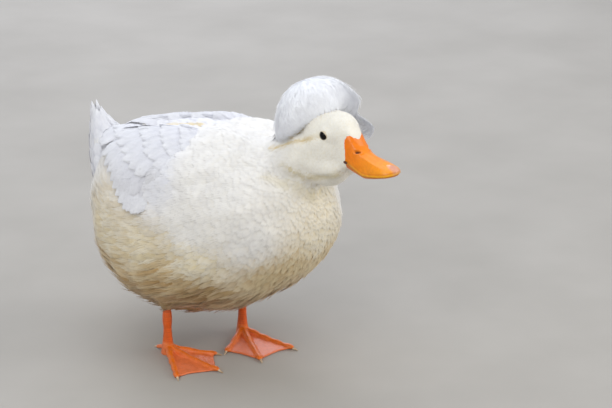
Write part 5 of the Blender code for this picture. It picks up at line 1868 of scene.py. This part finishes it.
def make_bill():
    bill_half("bill_upper_sheath", BILL_HALF_WIDTH, BILL_HEIGHT, False)
    bill_half("bill_lower_sheath", MANDIBLE_HALF_WIDTH, MANDIBLE_DEPTH, True)
    forward, side, up = MOUTH_CORNER
    for name, sign in SIDES.items():
        # Each mouth corner is a small ball painted dark brown: painted shade where the halves of the bill
        # meet.
        corner = ball(BILL @ frame_at((forward, sign * side, up)), (0.0026, 0.0012, 0.0014), 24, 16)
        dressed(corner, f"mouth_corner_{name}", GAPE_SHADE, None)


# Legs.
CLAWS = (*TOE_LENGTH, "hind")
SCUTE_STEP = 0.0027
SCUTE_RISE = 0.00030
# A toe's half width, how far from the middle of the foot its scutes start and how high they reach.
TOE_HALF = 0.0040
TOE_FROM = 0.004
TOE_TOP = 0.016
# The shank's scutes start this high and over this much. Near the sole all scutes run out.
SHANK_FROM = (0.013, 0.003)
SOLE_FROM = (0.0006, 0.0012)
LEG_TOP = (0.0052, 0.0052, 0.0180)
LEG_SWELL = 0.00018
LEG_VOXEL = 0.00078
TOE_PAD = (0.0080, 0.0036, 0.0027)
WEB_HOLLOW = 0.11
WEB_ROWS = 9
WEB_COLUMNS = 12
CLAW_SHARE = 0.85
CLAW_AHEAD = 0.0058


def foot_frame(name):
    return HOME @ frame_at((FOOT_FORWARD[name], FOOT_SIDE[name], GROUND), turn=TOE_TURN[name])


def toe_way(name, toe):
    angle = -SIDES[name] * TOE_SPREAD[toe]
    return at(math.cos(angle), math.sin(angle), 0.0)


def toe_end(name, toe):
    """A frame near the toe's end, its forward axis along the toe."""
    reach = Matrix.Translation(toe_way(name, toe) * (TOE_LENGTH[toe] - 0.001) + Vector((0, 0, TOE_PAD[2])))
    return reach @ Matrix.Rotation(-SIDES[name] * TOE_SPREAD[toe], 4, "Z")


def web_sheet(name, first, second):
    """The full web between two toes, its front edge a little hollow."""
    rows = []
    for i in range(WEB_ROWS + 1):
        v = 0.12 + 0.88 * i / WEB_ROWS
        faces = ([], [])
        for k in range(WEB_COLUMNS + 1):
            u = k / WEB_COLUMNS
            angle = -SIDES[name] * (TOE_SPREAD[first] * (1 - u) + TOE_SPREAD[second] * u)
            reach = TOE_LENGTH[first] * (1 - u) + TOE_LENGTH[second] * u + 0.003
            reach *= (1 - WEB_HOLLOW * 4 * u * (1 - u)) * v
            for face, up in zip(faces, (0.0020 + 0.0040 * (1 - v) ** 1.3, 0.0003)):
                face.append(foot_frame(name) @ at(math.cos(angle) * reach, math.sin(angle) * reach, up))
        rows.append(faces[0] + faces[1][::-1])
    return loft("web", rows)


def leg_form(name, nodes):
    """Shank, foot, pads and webs as one form, which runs up into the thigh."""
    low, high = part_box(nodes[0])
    top = Matrix.Translation(((low.x + high.x) / 2, (low.y + high.y) / 2, high.z - 0.002))
    pieces = [cad_copy(node) for node in nodes] + [ball(top, LEG_TOP)]
    pieces += [web_sheet(name, *pair) for pair in (("inner", "middle"), ("middle", "outer"))]
    pieces += [ball(foot_frame(name) @ toe_end(name, toe), TOE_PAD) for toe in TOE_LENGTH]
    leg = joined("leg", pieces)
    remeshed(leg, LEG_SWELL, LEG_VOXEL, 5)
    return leg


def scutes(name, local, ways):
    """How far the scutes rise at a leg's points, in its foot's frame, and the shares of toe and shank."""
    rise, toes = np.zeros(len(local)), np.zeros(len(local))
    for toe in TOE_LENGTH:
        way = np.array(toe_way(name, toe))
        lengthwise = local @ way
        across = local - lengthwise[:, None] * way
        off = abs(across[:, 0] * way[1] - across[:, 1] * way[0])
        on_toe = np.exp(-((off / TOE_HALF) ** 4)) * (lengthwise > TOE_FROM) * (local[:, 2] < TOE_TOP)
        steps = (lengthwise / SCUTE_STEP) % 1.0
        rise += on_toe * np.clip(ways[:, 2], 0, 1) * SCUTE_RISE * (steps**0.6 - 0.5)
        toes = np.maximum(toes, on_toe)
    shank = np.clip((local[:, 2] - SHANK_FROM[0]) / SHANK_FROM[1], 0, 1)
    steps = (local[:, 2] / SCUTE_STEP) % 1.0
    front = np.clip(-ways[:, 1] * 1.4 + 0.1, 0, 1)
    rise += shank * front * SCUTE_RISE * ((1 - steps) ** 0.6 - 0.5)
    rise *= np.clip((local[:, 2] - SOLE_FROM[0]) / SOLE_FROM[1], 0, 1)
    return rise, toes[:, None], shank[:, None]


def leg_tints(rise, toes, shank, ways):
    """Orange toes on pink webs, a redder shank, dark grooves between the scutes and a brown sole."""
    red, orange, pink, sole = (np.array(colour(tone)) for tone in ("F0540F", "FF8018", "F4824C", "C8602E"))
    shade = mixed(mixed(pink, orange, toes), red * 0.5 + orange * 0.5, shank)
    groove = np.clip(0.5 - rise / SCUTE_RISE, 0, 1)[:, None] * np.maximum(toes, shank)
    return mixed(shade * (1 - 0.28 * groove), sole, np.clip(-ways[:, 2] - 0.3, 0, 1)[:, None])


def make_leg(name):
    """Shank and foot as one skin, with scutes down the front of the shank and along each toe."""
    nodes = ("shank_" + name, "foot_" + name)
    leg = leg_form(name, nodes)
    points, normals = points_of(leg), normals_of(leg)
    ways = ways_in_frame(foot_frame(name), normals)
    rise, toes, shank = scutes(name, in_frame(foot_frame(name), points), ways)
    moved = points + normals * rise[:, None]
    moved[:, 2] = np.maximum(moved[:, 2], float(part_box(nodes[1])[0].z))
    put_points(leg, moved)
    paint(leg.data, leg_tints(rise, toes, shank, ways))
    dressed(leg, "leg_" + name, LEG_SKIN, "leg", *nodes)


def make_claws(name):
    """The claws, smaller than the solids' and moved out on the longer pads."""
    nodes = [f"claw_{name}_{toe}" for toe in CLAWS]
    copies = [cad_copy(node) for node in nodes]
    for claw, toe in zip(copies, TOE_LENGTH):
        start = foot_frame(name) @ (toe_way(name, toe) * (TOE_LENGTH[toe] - 0.003))
        ahead = foot_frame(name).to_3x3() @ toe_way(name, toe) * CLAW_AHEAD
        smaller = Matrix.Scale(CLAW_SHARE, 4) @ Matrix.Translation(-start)
        claw.data.transform(Matrix.Translation(start + ahead) @ smaller)
    claws = joined("claws", copies)
    rounder = claws.modifiers.new("round", "SUBSURF")
    rounder.levels = rounder.render_levels = 2
    apply_modifiers(claws)
    dressed(claws, "claws_" + name, CLAW_HORN, "claw", *nodes)


# Stage: a pale floor, soft lights and the camera.
CAMERA_AZIMUTH = math.radians(-48)
CAMERA_ELEVATION = math.radians(20)
CAMERA_DISTANCE = 2.40
CAMERA_LENS = 128.0
FRAME_WIDTH = 612
AIM_RIGHT = 87
AIM_UP = 8
LOOK_AT = (0.0, 0.0, 0.150)


def make_camera():
    """A long lens above the bird's right front, turned so that the bird stands left of the middle."""
    data = bpy.data.cameras.new("camera")
    data.lens = CAMERA_LENS
    camera = link(bpy.data.objects.new("camera", data))
    a, e = CAMERA_AZIMUTH, CAMERA_ELEVATION
    back = Vector((math.sin(a) * math.cos(e), -math.cos(a) * math.cos(e), math.sin(e)))
    target = HOME @ at(*LOOK_AT)
    camera.location = target + back * CAMERA_DISTANCE
    right = Vector((math.cos(a), math.sin(a), 0))
    up = back.cross(right)
    per_pixel = data.sensor_width / FRAME_WIDTH / CAMERA_LENS * CAMERA_DISTANCE
    aim = target + right * (AIM_RIGHT * per_pixel) + up * (AIM_UP * per_pixel)
    camera.rotation_euler = (aim - camera.location).to_track_quat("-Z", "Y").to_euler()
    bpy.context.scene.camera = camera


WORLD_TONE = "DDE2EA"
WORLD_STRENGTH = 0.66
FLOOR_SIZE = 8.0
# Each light's place, size, power and tone.
LIGHTS = {
    "key_light": ((-2.3, -0.7, 2.1), 2.4, 40.0, "FFFDF8"),
    "sky_light": ((0.2, 0.3, 2.8), 2.4, 24.0, "F2F6FF"),
    "rear_light": ((1.4, 1.6, 1.4), 1.6, 24.0, "EEF2FF"),
    "front_fill": ((1.5, -2.3, 1.1), 2.2, 32.0, "FFFBF4"),
}


def make_light(name, place, size, power, tone):
    data = bpy.data.lights.new(name, "AREA")
    data.shape = "SQUARE"
    data.size = size
    data.energy = power
    data.color = colour(tone)
    light = link(bpy.data.objects.new(name, data))
    light.location = place
    light.rotation_euler = (Vector((0, 0, 0.15)) - Vector(place)).to_track_quat("-Z", "Y").to_euler()


def make_stage():
    bpy.ops.mesh.primitive_plane_add(size=FLOOR_SIZE)
    floor = bpy.context.object
    floor.name = "floor"
    floor.data.materials.append(floor_material())
    world = bpy.data.worlds.new("studio")
    world.use_nodes = True
    inputs = world.node_tree.nodes["Background"].inputs
    inputs["Color"].default_value = (*colour(WORLD_TONE), 1.0)
    inputs["Strength"].default_value = WORLD_STRENGTH
    bpy.context.scene.world = world
    bpy.context.scene.view_settings.view_transform = "Standard"
    for name, (place, size, power, tone) in LIGHTS.items():
        make_light(name, place, size, power, tone)


def tint_skin(skin):
    """Gives the skin the tints of the coat over it, halfway from root to tip, painted shade included."""
    *_, tips, roots = groomed(points_of(skin))
    paint(skin.data, mixed(roots, tips, 0.5))
    covered = ("torso", "neck", "head", "thigh_left", "thigh_right")
    dressed(skin, "skin_under_coat", SKIN_DOWN, "plumage", *covered)


skin = make_skin()
surface = Surface(skin)
make_coat(surface)
tint_skin(skin)
for wing, wing_sign in SIDES.items():
    make_wing(wing, wing_sign)
make_tail()
make_crest(surface)
for eye_side, eye_sign in SIDES.items():
    make_eyeball(eye_side, eye_sign)
    make_lid(eye_side, eye_sign)
make_bill()
for leg_side in SIDES:
    make_leg(leg_side)
    make_claws(leg_side)
make_camera()
make_stage()
